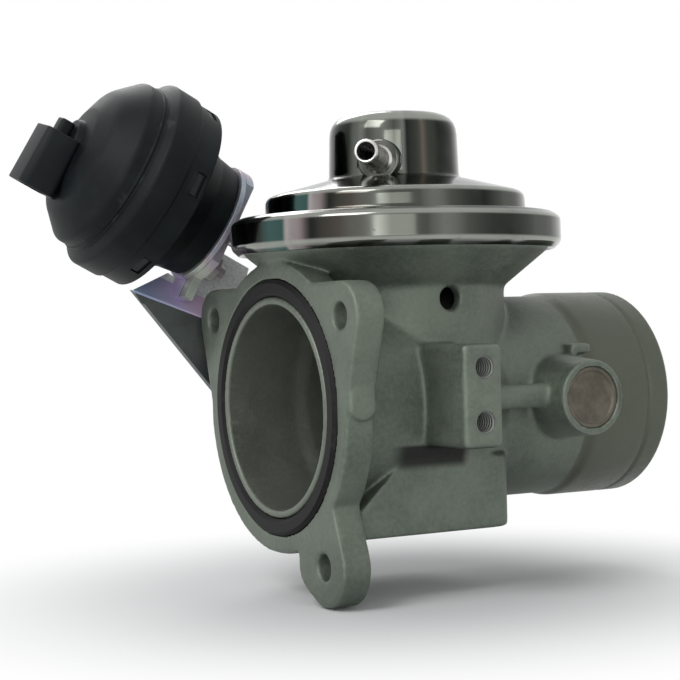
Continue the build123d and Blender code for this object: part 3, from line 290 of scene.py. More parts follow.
class Nodes:
    """The node tree of a material or a world."""

    def __init__(self, owner):
        owner.use_nodes = True
        self.tree = owner.node_tree
        self.tree.nodes.clear()

    def add(self, kind, settings, inputs, out=0):
        """Any node: its settings first, then the values or links of its sockets."""
        node = self.tree.nodes.new(kind)
        for name, value in settings.items():
            if name == "stops":
                self.set_stops(node.color_ramp.elements, value)
            else:
                setattr(node, name, value)
        for name, value in inputs.items():
            socket = node.inputs[name]
            if isinstance(value, Term):
                self.tree.links.new(value.socket, socket)
            elif socket.type == "RGBA":
                socket.default_value = (*value, 1.0)
            else:
                socket.default_value = value
        return Term(self, node.outputs[out]) if len(node.outputs) else node

    def set_stops(self, elements, stops):
        """Colours of a ramp, as pairs of a position and a colour."""
        while len(elements) < len(stops):
            elements.new(0.5)
        for element, (position, tone) in zip(elements, stops):
            element.position = position
            element.color = (*tone, 1.0)

    def seen(self):
        """Mask of the rays that meet plain white: the camera's, and those in gloss and glass."""
        rays = [self.add("ShaderNodeLightPath", {}, {}, out=name) for name in SEEN_BY]
        return rays[0].most(rays[1]).most(rays[2])


class Paint(Nodes):
    """One node material, read in Object coordinates."""

    def __init__(self, name):
        self.material = bpy.data.materials.new(f"{name}_finish")
        super().__init__(self.material)
        self.place = self.add("ShaderNodeTexCoord", {}, {}, out="Object")
        self.x, self.y, self.z = (self.place.part(index) for index in range(3))

    def vector(self, operation, first, second=(0.0, 0.0, 0.0), out=0):
        settings = {"operation": operation}
        return self.add("ShaderNodeVectorMath", settings, {0: first, 1: second}, out)

    def stretched(self, along_x, along_y, along_z):
        """Object coordinates scaled along each axis."""
        return self.vector("MULTIPLY", self.place, (along_x, along_y, along_z))

    def noise(self, size, detail=4.0, roughness=0.55, at=None):
        """Cloudy pattern whose largest patches are about size metres."""
        inputs = {"Scale": 1.0 / size, "Detail": detail, "Roughness": roughness}
        return self.add("ShaderNodeTexNoise", {}, {"Vector": at or self.place, **inputs})

    def cells(self, size):
        """A level for each cell of a pattern of about size metres."""
        inputs = {"Vector": self.place, "Scale": 1.0 / size}
        return self.add("ShaderNodeTexVoronoi", {}, inputs, "Color").part(0)

    def waves(self, direction, scale, **inputs):
        """Parallel ridges across x, y or z."""
        settings = {"wave_type": "BANDS", "bands_direction": direction}
        inputs = {"Vector": self.place, "Scale": scale, **inputs}
        return self.add("ShaderNodeTexWave", settings, inputs)

    def edges(self, low, high):
        """Mask that rises from the inner corners to the outer edges."""
        return self.add("ShaderNodeNewGeometry", {}, {}, out="Pointiness").ramp(low, high)

    def mix(self, first, second, factor):
        """Colour mix."""
        settings = {"data_type": "RGBA", "clamp_factor": True}
        return self.add("ShaderNodeMix", settings, {6: first, 7: second, 0: factor}, out=2)

    def layers(self, tone, *coats):
        """A colour under coats, which are pairs of a colour and the mask that lays it on."""
        for coat, mask in coats:
            tone = self.mix(tone, coat, mask)
        return tone

    def bands(self, value, *stops):
        """Colours along a value."""
        return self.add("ShaderNodeValToRGB", {"stops": stops}, {0: value})

    def bump(self, height, depth, strength=1.0, normal=None):
        """Relief of that height times depth in metres."""
        inputs = {"Height": height, "Distance": depth, "Strength": strength}
        if normal is not None:
            inputs["Normal"] = normal
        return self.add("ShaderNodeBump", {}, inputs)

    def close(self, **sockets):
        """The material under its closing Principled shader."""
        names = [name.replace("_", " ").title().replace("Ior", "IOR") for name in sockets]
        inputs = dict(zip(names, sockets.values()))
        return self.finish(self.add("ShaderNodeBsdfPrincipled", {}, inputs))

    def finish(self, shader):
        """The material, once its last shader is on the output."""
        self.add("ShaderNodeOutputMaterial", {}, {"Surface": shader})
        return self.material


def distance(first, second):
    """Length of the line that two coordinates give."""
    return (first * first + second * second) ** 0.5


def tapped(holes, first, second):
    """Mask of the walls of tapped holes, at places in millimetres on two coordinates."""
    mask = 0.0
    for a, b in holes:
        off_axis = distance(first - a * MM, second - b * MM)
        mask = (1.0 - off_axis.past(*THREAD_WALL)).most(mask)
    return mask


# ---------------------------------------------------------------- finishes
def cast_aluminium():
    """Grey die-cast skin, darker on the spigot, with bright threads, painted shade in the inner
    corners and a painted shadow under the side boss.
    """
    look = bpy.context.scene.egr_casting
    paint = Paint("cast_aluminium")
    blotch = paint.noise(0.018, 5.0, 0.6).ramp(0.35, 0.65)
    speck = paint.noise(0.0012, 3.0, 0.7).ramp(0.4, 0.62)
    grain = paint.noise(0.0005, 2.0, 0.6)

    across = distance(paint.y, paint.z)
    spigot = paint.x.past(79.5, 80.5) * across.past(26.2, 26.8)
    faces = (1.0 - paint.x.past(0.1, 0.4)).most(1.0 - paint.y.past(-48.4, -48.0))
    bore = 1.0 - across.past(26.4, 26.7)
    machined = spigot.most(faces * 0.5)
    side = tapped(SIDE_BOLTS, paint.x, paint.z) * paint.y.within(*SIDE_THREAD)
    foot = tapped(FOOT_BOLTS, paint.x, paint.y) * paint.z.within(*FOOT_THREAD)
    threads = side.most(foot)
    # Painted shadow: a dark patch on the body under the side boss, where the boss shades it.
    shade_under_boss = paint.x.past(16.0, 22.0) * (1.0 - paint.x.past(38.0, 41.0))      # under the side boss
    shade_under_boss = shade_under_boss * paint.z.past(-16.5, -14.0) * (1.0 - paint.z.past(-10.2, -9.2))
    shade_under_boss = shade_under_boss * (1.0 - paint.y.past(-29.0, -24.0))

    skin = paint.layers(
        paint.mix(look.skin_dark, look.skin_light, blotch * 0.65 + speck * 0.35),
        # Machined spigot tone, made darker also as painted shade on the side away from the key
        # lamp.
        (look.spigot, spigot * 0.75),
        # Painted shade: the darker skin laid into the inner corners, where shade falls.
        (look.skin_dark, (1.0 - paint.edges(0.44, 0.49)) * 0.55),
        (look.edge, paint.edges(0.51, 0.56) * 0.5),
        (look.bore, bore * 0.6),
        (look.painted_shade, shade_under_boss),
        (look.thread, threads * 0.8),
    )
    rings = paint.waves("X", 900.0, Distortion=0.4, Detail=1.0)
    pitch = paint.waves("Y", 314.0, Distortion=0.0)
    normal = paint.bump(grain * (1.0 - machined) + rings * spigot * 0.35, 0.00009, 0.8)
    normal = paint.bump(pitch * threads, 0.0005, 1.0, normal)
    normal = paint.bump(paint.noise(0.006, 3.0), 0.0005, 0.35, normal)
    rough = 0.46 + blotch * 0.10 + speck * 0.06 - machined * 0.10
    return paint.close(base_color=skin, metallic=0.55, roughness=rough, normal=normal, ior=1.5)


def chromed_steel():
    """Bright plated pressing with painted reflections that run round it and painted highlights on
    its rolls, with spin marks and a few dull spots.
    """
    look = bpy.context.scene.egr_cover
    paint = Paint("chromed_steel")
    haze = paint.noise(0.012, 4.0, 0.6).ramp(0.45, 0.8)
    spots = paint.noise(0.0022, 2.0, 0.7).ramp(0.68, 0.8)

    centred = paint.vector("SUBTRACT", paint.place, (VALVE_X * MM, 0.0, 0.0))
    radius = distance(centred.part(0), centred.part(1))
    about = paint.vector("NORMALIZE", paint.vector("MULTIPLY", centred, (1.0, 1.0, 0.0)))
    sweep = paint.vector("DOT_PRODUCT", about, REFLECTION_WAY, "Value") * 0.5 + 0.5
    drawn = sweep + (paint.noise(0.3, 2.0, 0.6, about) - 0.5) * 0.10
    turns = paint.add("ShaderNodeTexNoise", {"noise_dimensions": "1D"},
                      {"W": radius + paint.z, "Scale": 2200.0, "Detail": 2.0})

    # Painted reflections: streaks of light, dark, teal and rose laid round the drum, and in bands
    # of their own round the rims.
    bright, dull, dark = look.plate, look.haze, look.deep
    drum_reflections = paint.bands(
        drawn, (0.0, dull), (0.04, dark), (0.15, dark), (0.18, dull), (0.23, bright), (0.30, dull),
        (0.40, PALE), (0.50, dull), (0.56, PALE), (0.60, dark), (0.68, SLATE), (0.72, BROWN),
        (0.76, SLATE), (0.82, dark), (0.94, dark), (0.98, dull), (1.0, bright))
    band = paint.bands(
        drawn, (0.0, dull), (0.05, dark), (0.10, dark), (0.13, TEAL), (0.175, DEEP_TEAL),
        (0.19, ROSE), (0.215, DULL_ROSE), (0.235, dark), (0.33, UMBER), (0.42, bright),
        (0.47, dull), (0.58, dull), (0.63, bright), (0.69, dull), (0.80, dark), (0.90, dull),
        (0.95, dark), (1.0, dull))
    # Painted highlights: pale stripes along the rolls and shoulders.
    roll_highlights = 0.0
    for height, half in ROLL_HIGHLIGHTS:
        reach = (paint.z - height * MM).size() / (half * MM)
        roll_highlights = (1.0 - reach.ramp(0.35, 1.0)).most(roll_highlights)
    # The painted reflections, then the painted highlights on the rolls, then the real dull clouds
    # and spots.
    film = paint.layers(
        drum_reflections,
        (band, radius.past(19.0, 33.0)),
        (look.roll, roll_highlights * 0.75),
        (dull, haze * 0.3 + spots * 0.4),
    )
    rough = 0.11 + haze * 0.08 + spots * 0.15 + turns * 0.03
    normal = paint.bump(turns, 0.000004, 0.6)
    normal = paint.bump(paint.noise(0.02, 2.0), 0.0004, 0.25, normal)
    return paint.close(base_color=film, metallic=1.0, roughness=rough, normal=normal)


def bright_steel():
    """Turned or drawn steel with fine marks along z."""
    paint = Paint("bright_steel")
    haze = paint.noise(0.004, 4.0, 0.6)
    fine = paint.noise(0.0006, 3.0, 0.7, paint.stretched(1.0, 1.0, 6.0))
    tone = paint.mix((0.52, 0.51, 0.49), (0.72, 0.71, 0.69), haze.ramp(0.35, 0.65))
    return paint.close(base_color=tone, metallic=1.0, roughness=0.2 + haze * 0.16,
                       normal=paint.bump(fine, 0.00002, 0.6))


def zinc_plate():
    """Spangled zinc plate with a blue to pink passivation that drifts across each face, and painted
    light and shade on the bracket.
    """
    look = bpy.context.scene.egr_plate
    paint = Paint("zinc_plate")
    spangle = paint.cells(0.0016)
    fine = paint.noise(0.0005, 3.0, 0.7)
    drift = paint.noise(0.024, 2.0, 0.5).ramp(0.3, 0.7) + spangle * 0.12
    film = paint.bands(drift, (0.0, (0.26, 0.32, 0.36)), (0.3, (0.22, 0.27, 0.42)),
                       (0.55, (0.40, 0.27, 0.40)), (0.8, (0.42, 0.36, 0.34)),
                       (1.0, (0.50, 0.54, 0.46)))

    # The bracket's leaning leaf, its wing and its back plate differ from the small zinc pieces:
    # painted light brightens the leaf's blue to pink film and whitens the wing, and painted shade
    # darkens the back plate.
    low = paint.z < 37.5 * MM
    near = paint.x < 24.0 * MM
    rise = paint.z + paint.x * 0.369 - 24.2 * MM
    leaf = near * paint.y.within(44.4, 55.3) * (rise > (paint.y - 44.8 * MM) * 0.35)
    wing = near * paint.y.within(52.6, 55.4)
    back = paint.y.within(44.0, 47.2) * (1.0 - leaf) * low
    wash_and_painted_light = paint.bands(paint.x * 22.0 + 0.55 + spangle * 0.08, (0.0, (0.42, 0.66, 0.68)),
                       (0.25, (0.42, 0.52, 0.80)), (0.5, (0.62, 0.50, 0.78)),
                       (0.8, (0.80, 0.52, 0.66)))
    tone = paint.layers(
        look.zinc,
        (film, look.film),
        ((0.16, 0.18, 0.16), fine.ramp(0.45, 0.7) * 0.35),
        # Painted light: the leaf's real blue to pink film, made lighter to stand for the light it
        # lacks.
        (wash_and_painted_light, leaf * low * 0.9),
        # Painted light: the wing near white, where it lies in shade.
        (paint.mix((0.70, 0.76, 0.74), (0.97, 0.99, 0.98), fine.ramp(0.35, 0.55)), wing),
        # Painted shade: the back plate near black, where it stands in shade.
        (paint.mix((0.035, 0.05, 0.04), (0.07, 0.085, 0.085), drift), back * 0.9),
    )
    return paint.close(base_color=tone, metallic=0.6 - (leaf + wing).least(1.0) * 0.55,
                       roughness=0.34 + fine * 0.16 + spangle * 0.10,
                       normal=paint.bump(fine + spangle * 0.3, 0.00003, 0.5))


def black_moulding():
    """Satin black glass-filled plastic with a fine spark-eroded grain and rubbed edges."""
    look = bpy.context.scene.egr_moulding
    paint = Paint("black_moulding")
    cloud = paint.noise(0.01, 4.0, 0.6)
    grain = paint.noise(0.0004, 2.0, 0.7)
    fibre = paint.noise(0.0012, 3.0, 0.6, paint.stretched(1.0, 3.0, 1.0))
    tone = paint.mix(look.black, look.bloom, cloud.ramp(0.35, 0.75))
    tone = paint.mix(tone, look.rubbed, paint.edges(0.52, 0.6) * 0.35)
    rough = 0.40 + cloud * 0.14 + grain * 0.08
    return paint.close(base_color=tone, roughness=rough, metallic=0.0, specular_ior_level=0.16,
                       normal=paint.bump(grain + fibre * 0.6, 0.00004, 0.7))


def black_rubber():
    """Matt moulded rubber with dust in its pores."""
    paint = Paint("black_rubber")
    dust = paint.noise(0.003, 5.0, 0.7).ramp(0.5, 0.8)
    pores = paint.noise(0.0006, 2.0, 0.7)
    tone = paint.mix((0.006, 0.006, 0.006), (0.024, 0.025, 0.023), dust)
    return paint.close(base_color=tone, roughness=0.55 + dust * 0.25, specular_ior_level=0.2,
                       normal=paint.bump(pores, 0.00006, 0.7))


def plug_steel():
    """Dull bronze-toned plating."""
    paint = Paint("plug_steel")
    cloud = paint.noise(0.005, 5.0, 0.65).ramp(0.35, 0.65)
    grain = paint.noise(0.0005, 3.0, 0.7)
    tone = paint.mix((0.078, 0.068, 0.050), (0.125, 0.112, 0.086), cloud)
    return paint.close(base_color=tone, metallic=0.5, roughness=0.34 + grain * 0.18,
                       normal=paint.bump(grain, 0.00004, 0.6))


def plain_metal(name, dark, light, rough, size=0.004):
    """Other metals: two shades in clouds, fine grain in the gloss and the relief."""
    paint = Paint(name)
    cloud = paint.noise(size, 4.0, 0.6).ramp(0.35, 0.65)
    grain = paint.noise(0.0006, 3.0, 0.7)
    return paint.close(base_color=paint.mix(dark, light, cloud), metallic=1.0,
                       roughness=rough + grain * 0.15, normal=paint.bump(grain, 0.00003, 0.6))


def plain_plastic(name, dark, light, rough):
    """Inner mouldings."""
    paint = Paint(name)
    cloud = paint.noise(0.006, 4.0, 0.6)
    grain = paint.noise(0.0005, 2.0, 0.6)
    return paint.close(base_color=paint.mix(dark, light, cloud), roughness=rough + grain * 0.1,
                       normal=paint.bump(grain, 0.00003, 0.6))


OWN = {
    "cast_aluminium": cast_aluminium,
    "chromed_steel": chromed_steel,
    "bright_steel": bright_steel,
    "zinc_plate": zinc_plate,
    "black_moulding": black_moulding,
    "black_rubber": black_rubber,
    "plug_steel": plug_steel,
}
METALS = {
    "valve_steel": ((0.30, 0.29, 0.28), (0.46, 0.45, 0.43), 0.3),
    "bush_bronze": ((0.38, 0.26, 0.13), (0.52, 0.37, 0.20), 0.4),
    "flap_brass": ((0.46, 0.36, 0.18), (0.62, 0.50, 0.27), 0.28, 0.012),
    "spring_steel": ((0.24, 0.24, 0.25), (0.42, 0.42, 0.43), 0.3),
    "terminal_tin": ((0.55, 0.54, 0.50), (0.72, 0.71, 0.67), 0.25),
    "magnet": ((0.10, 0.10, 0.11), (0.18, 0.18, 0.19), 0.35),
}
PLASTICS = {
    "guide_plastic": ((0.52, 0.50, 0.43), (0.66, 0.64, 0.57), 0.45),
    "sensor_resin": ((0.02, 0.03, 0.022), (0.05, 0.06, 0.05), 0.3),
}
MADE = {}


def finish_of(node):
    """The node's material, made the first time that it is asked for."""
    name = SLOT_OF[node]
    if name not in MADE:
        if name in METALS:
            MADE[name] = plain_metal(name, *METALS[name])
        elif name in PLASTICS:
            MADE[name] = plain_plastic(name, *PLASTICS[name])
        else:
            MADE[name] = OWN[name]()
    return MADE[name]


# ---------------------------------------------------------------- making meshes
def placed(mesh, name):
    """New object of the scene that takes over a bmesh."""
    data = bpy.data.meshes.new(name)
    mesh.to_mesh(data)
    mesh.free()
    thing = bpy.data.objects.new(name, data)
    bpy.context.scene.collection.objects.link(thing)
    return thing


def copy_of(node):
    """The CAD solid as one clean mesh: its loose triangles merged and its flats dissolved."""
    mesh = bmesh.new()
    mesh.from_mesh(NODES[node].data)
    bmesh.ops.remove_doubles(mesh, verts=mesh.verts, dist=MERGE * MM)
    bmesh.ops.dissolve_degenerate(mesh, dist=MERGE * MM, edges=mesh.edges)
    return mesh


def seat_piece(mesh, name, node, crease=CREASE):
    """Turns a bmesh into the piece that stands for a CAD node, riding on that node's body."""
    for face in mesh.faces:
        face.smooth = True
    for edge in mesh.edges:
        if edge.is_manifold:
            edge.smooth = edge.calc_face_angle(0.0) < radians(crease)
    piece = placed(mesh, name)
    piece.data.materials.append(finish_of(node))
    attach(piece, BODY_OF[node])
    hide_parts(node)
    return piece


def evaluated(piece):
    """Takes a piece's modifiers into its mesh."""
    graph = bpy.context.evaluated_depsgraph_get()
    graph.update()
    made = bpy.data.meshes.new_from_object(piece.evaluated_get(graph))
    piece.modifiers.clear()
    piece.data = made


def relax(mesh, verts, factor):
    """Moves vertices towards the middle of their neighbours."""
    bmesh.ops.smooth_vert(mesh, verts=verts, factor=factor,
                          use_axis_x=True, use_axis_y=True, use_axis_z=True)


def softened(node, name, voxel, rounds, sharp):
    """A cast copy of a node: its corners run into each other in small radii.

    sharp(point in millimetres) tells which places keep their machined edges."""
    piece = seat_piece(copy_of(node), name, node)
    remesh = piece.modifiers.new("skin", "REMESH")
    remesh.mode = "VOXEL"
    remesh.voxel_size = voxel * MM
    remesh.adaptivity = 0.0
    evaluated(piece)
    mesh = bmesh.new()
    mesh.from_mesh(piece.data)
    soft = [vert for vert in mesh.verts if not sharp(vert.co / MM)]
    for _ in range(rounds):
        relax(mesh, soft, 0.5)
    relax(mesh, mesh.verts, 0.4)
    for face in mesh.faces:
        face.smooth = True
    mesh.to_mesh(piece.data)
    mesh.free()
    triangles = len(piece.data.polygons) * 2
    if triangles > CASTING_TRIANGLES:
        thin = piece.modifiers.new("thin", "DECIMATE")
        thin.ratio = CASTING_TRIANGLES / triangles
        evaluated(piece)
    piece.data.materials.clear()
    piece.data.materials.append(finish_of(node))
    return piece


def eased(node, name, width):
    """A turned, stamped or threaded copy of a node with a small bevel on its edges."""
    mesh = copy_of(node)
    bmesh.ops.dissolve_limit(mesh, angle_limit=radians(FLAT), verts=mesh.verts, edges=mesh.edges)
    piece = seat_piece(mesh, name, node)
    bevel = piece.modifiers.new("edge", "BEVEL")
    bevel.width = width * MM
    bevel.segments = 2
    bevel.limit_method = "ANGLE"
    bevel.angle_limit = radians(CREASE)
    bevel.harden_normals = True
    return piece


def rounded(corners, steps=6):
    """Closed profile through the corners, each rounding drawn as a curve."""
    points = []
    for index, (radius, height, rounding) in enumerate(corners):
        here = Vector((radius, height))
        back = Vector(corners[index - 1][:2]) - here
        ahead = Vector(corners[(index + 1) % len(corners)][:2]) - here
        if rounding <= 0:
            points.append(here)
            continue
        half = back.angle(ahead) / 2
        room = NEARLY_HALF * min(back.length, ahead.length)
        reach = min(rounding * abs(cos(half) / sin(half)), room)
        start = here + back.normalized() * reach
        end = here + ahead.normalized() * reach
        for step in range(steps + 1):
            t = step / steps
            points.append(start * (1 - t) ** 2 + here * 2 * t * (1 - t) + end * t**2)
    return points


def turned(corners, axis, steps=144):
    """Solid of revolution about an axis, from a rounded profile."""
    mesh = bmesh.new()
    verts = [mesh.verts.new((point.x * MM, 0, point.y * MM)) for point in rounded(corners)]
    edges = [mesh.edges.new(pair) for pair in zip(verts, verts[1:] + verts[:1])]
    bmesh.ops.spin(mesh, geom=verts + edges, cent=(0, 0, 0), axis=(0, 0, 1), dvec=(0, 0, 0),
                   angle=2 * pi, steps=steps, use_merge=True, use_duplicate=False)
    bmesh.ops.remove_doubles(mesh, verts=mesh.verts, dist=2 * MERGE * MM)
    bmesh.ops.dissolve_degenerate(mesh, dist=MERGE * MM, edges=mesh.edges)
    bmesh.ops.recalc_face_normals(mesh, faces=mesh.faces)
    bmesh.ops.transform(mesh, matrix=axis, verts=mesh.verts)
    return mesh


def bevelled(mesh, edges, width, segments):
    """Rounds edges of a bmesh to a width in millimetres."""
    bmesh.ops.bevel(mesh, geom=edges, affect="EDGES", offset=width * MM, segments=segments,
                    profile=0.5, material=-1)


def block(axis, middle, size, corner=0.0, edge=0.0):
    """Box on a frame: its edges along y take one radius, and all others a smaller one."""
    mesh = bmesh.new()
    fit = Matrix.Translation(Vector(middle) * MM) @ Matrix.Diagonal((*(Vector(size) * MM), 1))
    bmesh.ops.create_cube(mesh, size=1.0, matrix=fit)
    if corner:
        along = [line for line in mesh.edges
                 if abs((line.verts[0].co - line.verts[1].co).normalized().y) > ALONG]
        bevelled(mesh, along, corner, 5)
    if edge:
        sharp = [line for line in mesh.edges if line.calc_face_angle(0.0) > radians(BOX_CREASE)]
        bevelled(mesh, sharp, edge, 3)
    bmesh.ops.transform(mesh, matrix=axis, verts=mesh.verts)
    return mesh


def cylinder(axis, radius, start, end):
    """Plain cylinder along a frame's z."""
    mesh = bmesh.new()
    place = axis @ Matrix.Translation((0, 0, (start + end) / 2 * MM))
    bmesh.ops.create_cone(mesh, cap_ends=True, segments=48, radius1=radius * MM,
                          radius2=radius * MM, depth=(end - start) * MM, matrix=place)
    return mesh


def combined(mesh, tools, operation):
    """The bmesh after each tool is joined to it or cut out of it."""
    for tool in tools:
        base, other = placed(mesh, "work"), placed(tool, "work")
        change = base.modifiers.new("change", "BOOLEAN")
        change.operation = operation
        change.solver = "EXACT"
        change.object = other
        evaluated(base)
        mesh = bmesh.new()
        mesh.from_mesh(base.data)
        bpy.data.objects.remove(base)
        bpy.data.objects.remove(other)
    bmesh.ops.remove_doubles(mesh, verts=mesh.verts, dist=MERGE / 2 * MM)
    return mesh


# ---------------------------------------------------------------- settings
def swatch(name, tone, description):
    """A colour that a user may change."""
    return FloatVectorProperty(name=name, description=description, default=tone, size=3,
                               subtype="COLOR", min=0.0, max=1.0)


class CastingLook(bpy.types.PropertyGroup):
    """Colours and rounding of the die-cast housing."""

    skin_dark: swatch("Dark skin", (0.100, 0.122, 0.097), "Casting skin in its darker clouds")
    skin_light: swatch("Light skin", (0.168, 0.196, 0.158), "Casting skin in its lighter clouds")
    # Machined spigot tone, darkened also as painted shade on the side away from the key lamp.
    spigot: swatch("Spigot", (0.072, 0.077, 0.055), "Machined hose spigot")
    edge: swatch("Rubbed edge", (0.24, 0.26, 0.22), "Edges rubbed bright")
    bore: swatch("Bore", (0.145, 0.150, 0.128), "Inside of the duct")
    # Painted shadow under the side boss.
    painted_shade: swatch("Painted shade", (0.014, 0.015, 0.013), "Shade painted under the side boss")
    thread: swatch("Thread", (0.30, 0.31, 0.29), "Walls of the tapped holes")
    voxel: FloatProperty(name="Skin step", description="Mesh step of the cast skin, in millimetres",
                         default=0.5, min=0.3, max=2.0)
    rounds: IntProperty(name="Rounding", description="Passes that round the cast corners",
                        default=9, min=0, max=40)


class CoverLook(bpy.types.PropertyGroup):
    """Plating of the vacuum can, with its painted reflections and painted highlights."""

    plate: swatch("Plate", (0.150, 0.156, 0.140), "Brightest painted reflections")
    haze: swatch("Haze", (0.068, 0.073, 0.063), "Middle tone of the painted reflections, and dull clouds")
    deep: swatch("Deep", (0.016, 0.019, 0.016), "Darkest painted reflections")
    # Painted highlight along the rolls and shoulders.
    roll: swatch("Painted highlight", (0.34, 0.35, 0.32), "Highlights painted along the rolled edges and shoulders")


class PlateLook(bpy.types.PropertyGroup):
    """Zinc plate of the bracket and the fasteners."""

    zinc: swatch("Zinc", (0.62, 0.64, 0.62), "Bare zinc plate")
    film: FloatProperty(name="Film", description="Share of the coloured passivation film",
                        default=0.6, min=0.0, max=1.0, subtype="FACTOR")


class MouldingLook(bpy.types.PropertyGroup):
    """Black plastic of the actuator."""

    black: swatch("Black", (0.0025, 0.0038, 0.0045), "Moulding")
    bloom: swatch("Bloom", (0.008, 0.0115, 0.0125), "Paler clouds on the moulding")
    rubbed: swatch("Rubbed edge", (0.05, 0.055, 0.058), "Edges rubbed pale")


class StageLook(bpy.types.PropertyGroup):
    """Floor, light and camera."""

    floor: swatch("Floor", (0.80, 0.81, 0.81), "Floor and backdrop")
    light: FloatProperty(name="Light", description="Strength of the soft world light",
                         default=0.42, min=0.0)
    key: FloatProperty(name="Key lamp", description="Power of the brightest lamp",
                       default=6.5, min=0.0, unit="POWER")
    lens: FloatProperty(name="Lens", description="Focal length",
                        default=87.361, min=10.0, unit="CAMERA")


# ---------------------------------------------------------------- operators
class EGR_OT_stage(bpy.types.Operator):
    """Pale floor, soft light and the camera."""

    bl_idname = "egr.stage"
    bl_label = "Stage"

    def execute(self, context):
        look = context.scene.egr_stage
        self.floor(look)
        self.world(look)
        self.lamps(look)
        self.camera(look)
        context.scene.view_settings.view_transform = "Standard"
        return {"FINISHED"}

    def floor(self, look):
        """Floor that takes the shadow and fades into the pale backdrop away from the part."""
        paint = Paint("floor_paper")
        tone = paint.mix(look.floor, [0.97 * level for level in look.floor], paint.noise(0.05, 3.0))
        paper = paint.add("ShaderNodeBsdfPrincipled", {},
                          {"Base Color": tone, "Roughness": 0.9, "Specular IOR Level": 0.1})
        glow = paint.add("ShaderNodeEmission", {}, {"Color": WHITE, "Strength": 1.0})
        away = distance(paint.x - STAGE_X * MM, paint.y).past(*FLOOR_FADE)
        white = away * paint.seen()
        paint.finish(paint.add("ShaderNodeMixShader", {}, {0: white, 1: paper, 2: glow}))
        lowest = CAD_BOX[0].z - FLOOR_GAP * MM
        mesh = bmesh.new()
        bmesh.ops.create_circle(mesh, cap_ends=True, segments=64, radius=FLOOR_RADIUS * MM,
                                matrix=Matrix.Translation((STAGE_X * MM, 0, lowest)))
        floor = placed(mesh, "floor")
        floor.data.materials.append(paint.material)

    def world(self, look):
        """Even pale light; the camera, reflections and glass see plain white."""
        world = bpy.data.worlds.new("soft_room")
        bpy.context.scene.world = world
        nodes = Nodes(world)
        room = nodes.add("ShaderNodeBackground", {}, {"Color": ROOM, "Strength": look.light})
        white = nodes.add("ShaderNodeBackground", {}, {"Color": WHITE})
        both = nodes.add("ShaderNodeMixShader", {}, {0: nodes.seen(), 1: room, 2: white})
        nodes.add("ShaderNodeOutputWorld", {}, {"Surface": both})

    def lamps(self, look):
        """Large soft boxes: one high on the left front, one low in front, one behind."""
        for name, (place, size, share) in LAMPS.items():
            place = Vector(place) * MM
            lamp = bpy.data.lights.new(name, "AREA")
            lamp.size = size * MM
            lamp.energy = share * look.key
            holder = bpy.data.objects.new(name, lamp)
            holder.location = place
            holder.rotation_mode = "QUATERNION"
            holder.rotation_quaternion = (Vector(LIT_POINT) * MM - place).to_track_quat("-Z", "Y")
            bpy.context.scene.collection.objects.link(holder)

    def camera(self, look):
        """Camera from the flange's side, a little above the duct."""
        data = bpy.data.cameras.new("camera")
        data.lens = look.lens
        data.sensor_width = SENSOR_WIDTH
        data.clip_start = NEAREST * MM
        back = CAMERA_RIGHT.cross(CAMERA_UP).normalized()
        up = back.cross(CAMERA_RIGHT).normalized()
        turn = Matrix((CAMERA_RIGHT.normalized(), up, back)).transposed()
        camera = bpy.data.objects.new("camera", data)
        camera.matrix_world = Matrix.Translation(Vector(CAMERA_PLACE) * MM) @ turn.to_4x4()
        bpy.context.scene.collection.objects.link(camera)
        bpy.context.scene.camera = camera


class EGR_OT_housing(bpy.types.Operator):
    """Die-cast housing with rounded cast corners and crisp machined edges."""

    bl_idname = "egr.housing"
    bl_label = "Housing"

    def execute(self, context):
        look = context.scene.egr_casting
        softened("housing", "cast_housing", look.voxel, look.rounds, self.machined)
        return {"FINISHED"}

    def machined(self, point):
        """Places cut after casting: seal groove, spigot's end and plug recess."""
        groove = point.x < GROOVE_CUT[0] and sqrt(point.y**2 + point.z**2) < GROOVE_CUT[1]
        spigot = point.x > SPIGOT_CUT
        off_shaft = sqrt((point.x - SHAFT.x) ** 2 + (point.z - SHAFT.z) ** 2)
        plug = point.y < PLUG_CUT[0] and off_shaft < PLUG_CUT[1]
        return groove or spigot or plug


class EGR_OT_cover(bpy.types.Operator):
    """Drawn steel cover with rolled crimp, rounded shoulder and raised pad, and its nipple."""

    bl_idname = "egr.cover"
    bl_label = "Can cover and nipple"

    def execute(self, context):
        cover = combined(turned(COVER, VALVE_AXIS, 192), [turned(COVER_PAD, NIPPLE_AXIS)], "UNION")
        holes = [cylinder(VALVE_AXIS, *COVER_INSIDE), cylinder(NIPPLE_AXIS, *NIPPLE_HOLE)]
        seat_piece(combined(cover, holes, "DIFFERENCE"), "drawn_cover", "can_cover", TURNED_CREASE)
        seat_piece(turned(NIPPLE, NIPPLE_AXIS, 64), "turned_nipple", "vacuum_nipple", TURNED_CREASE)
        return {"FINISHED"}


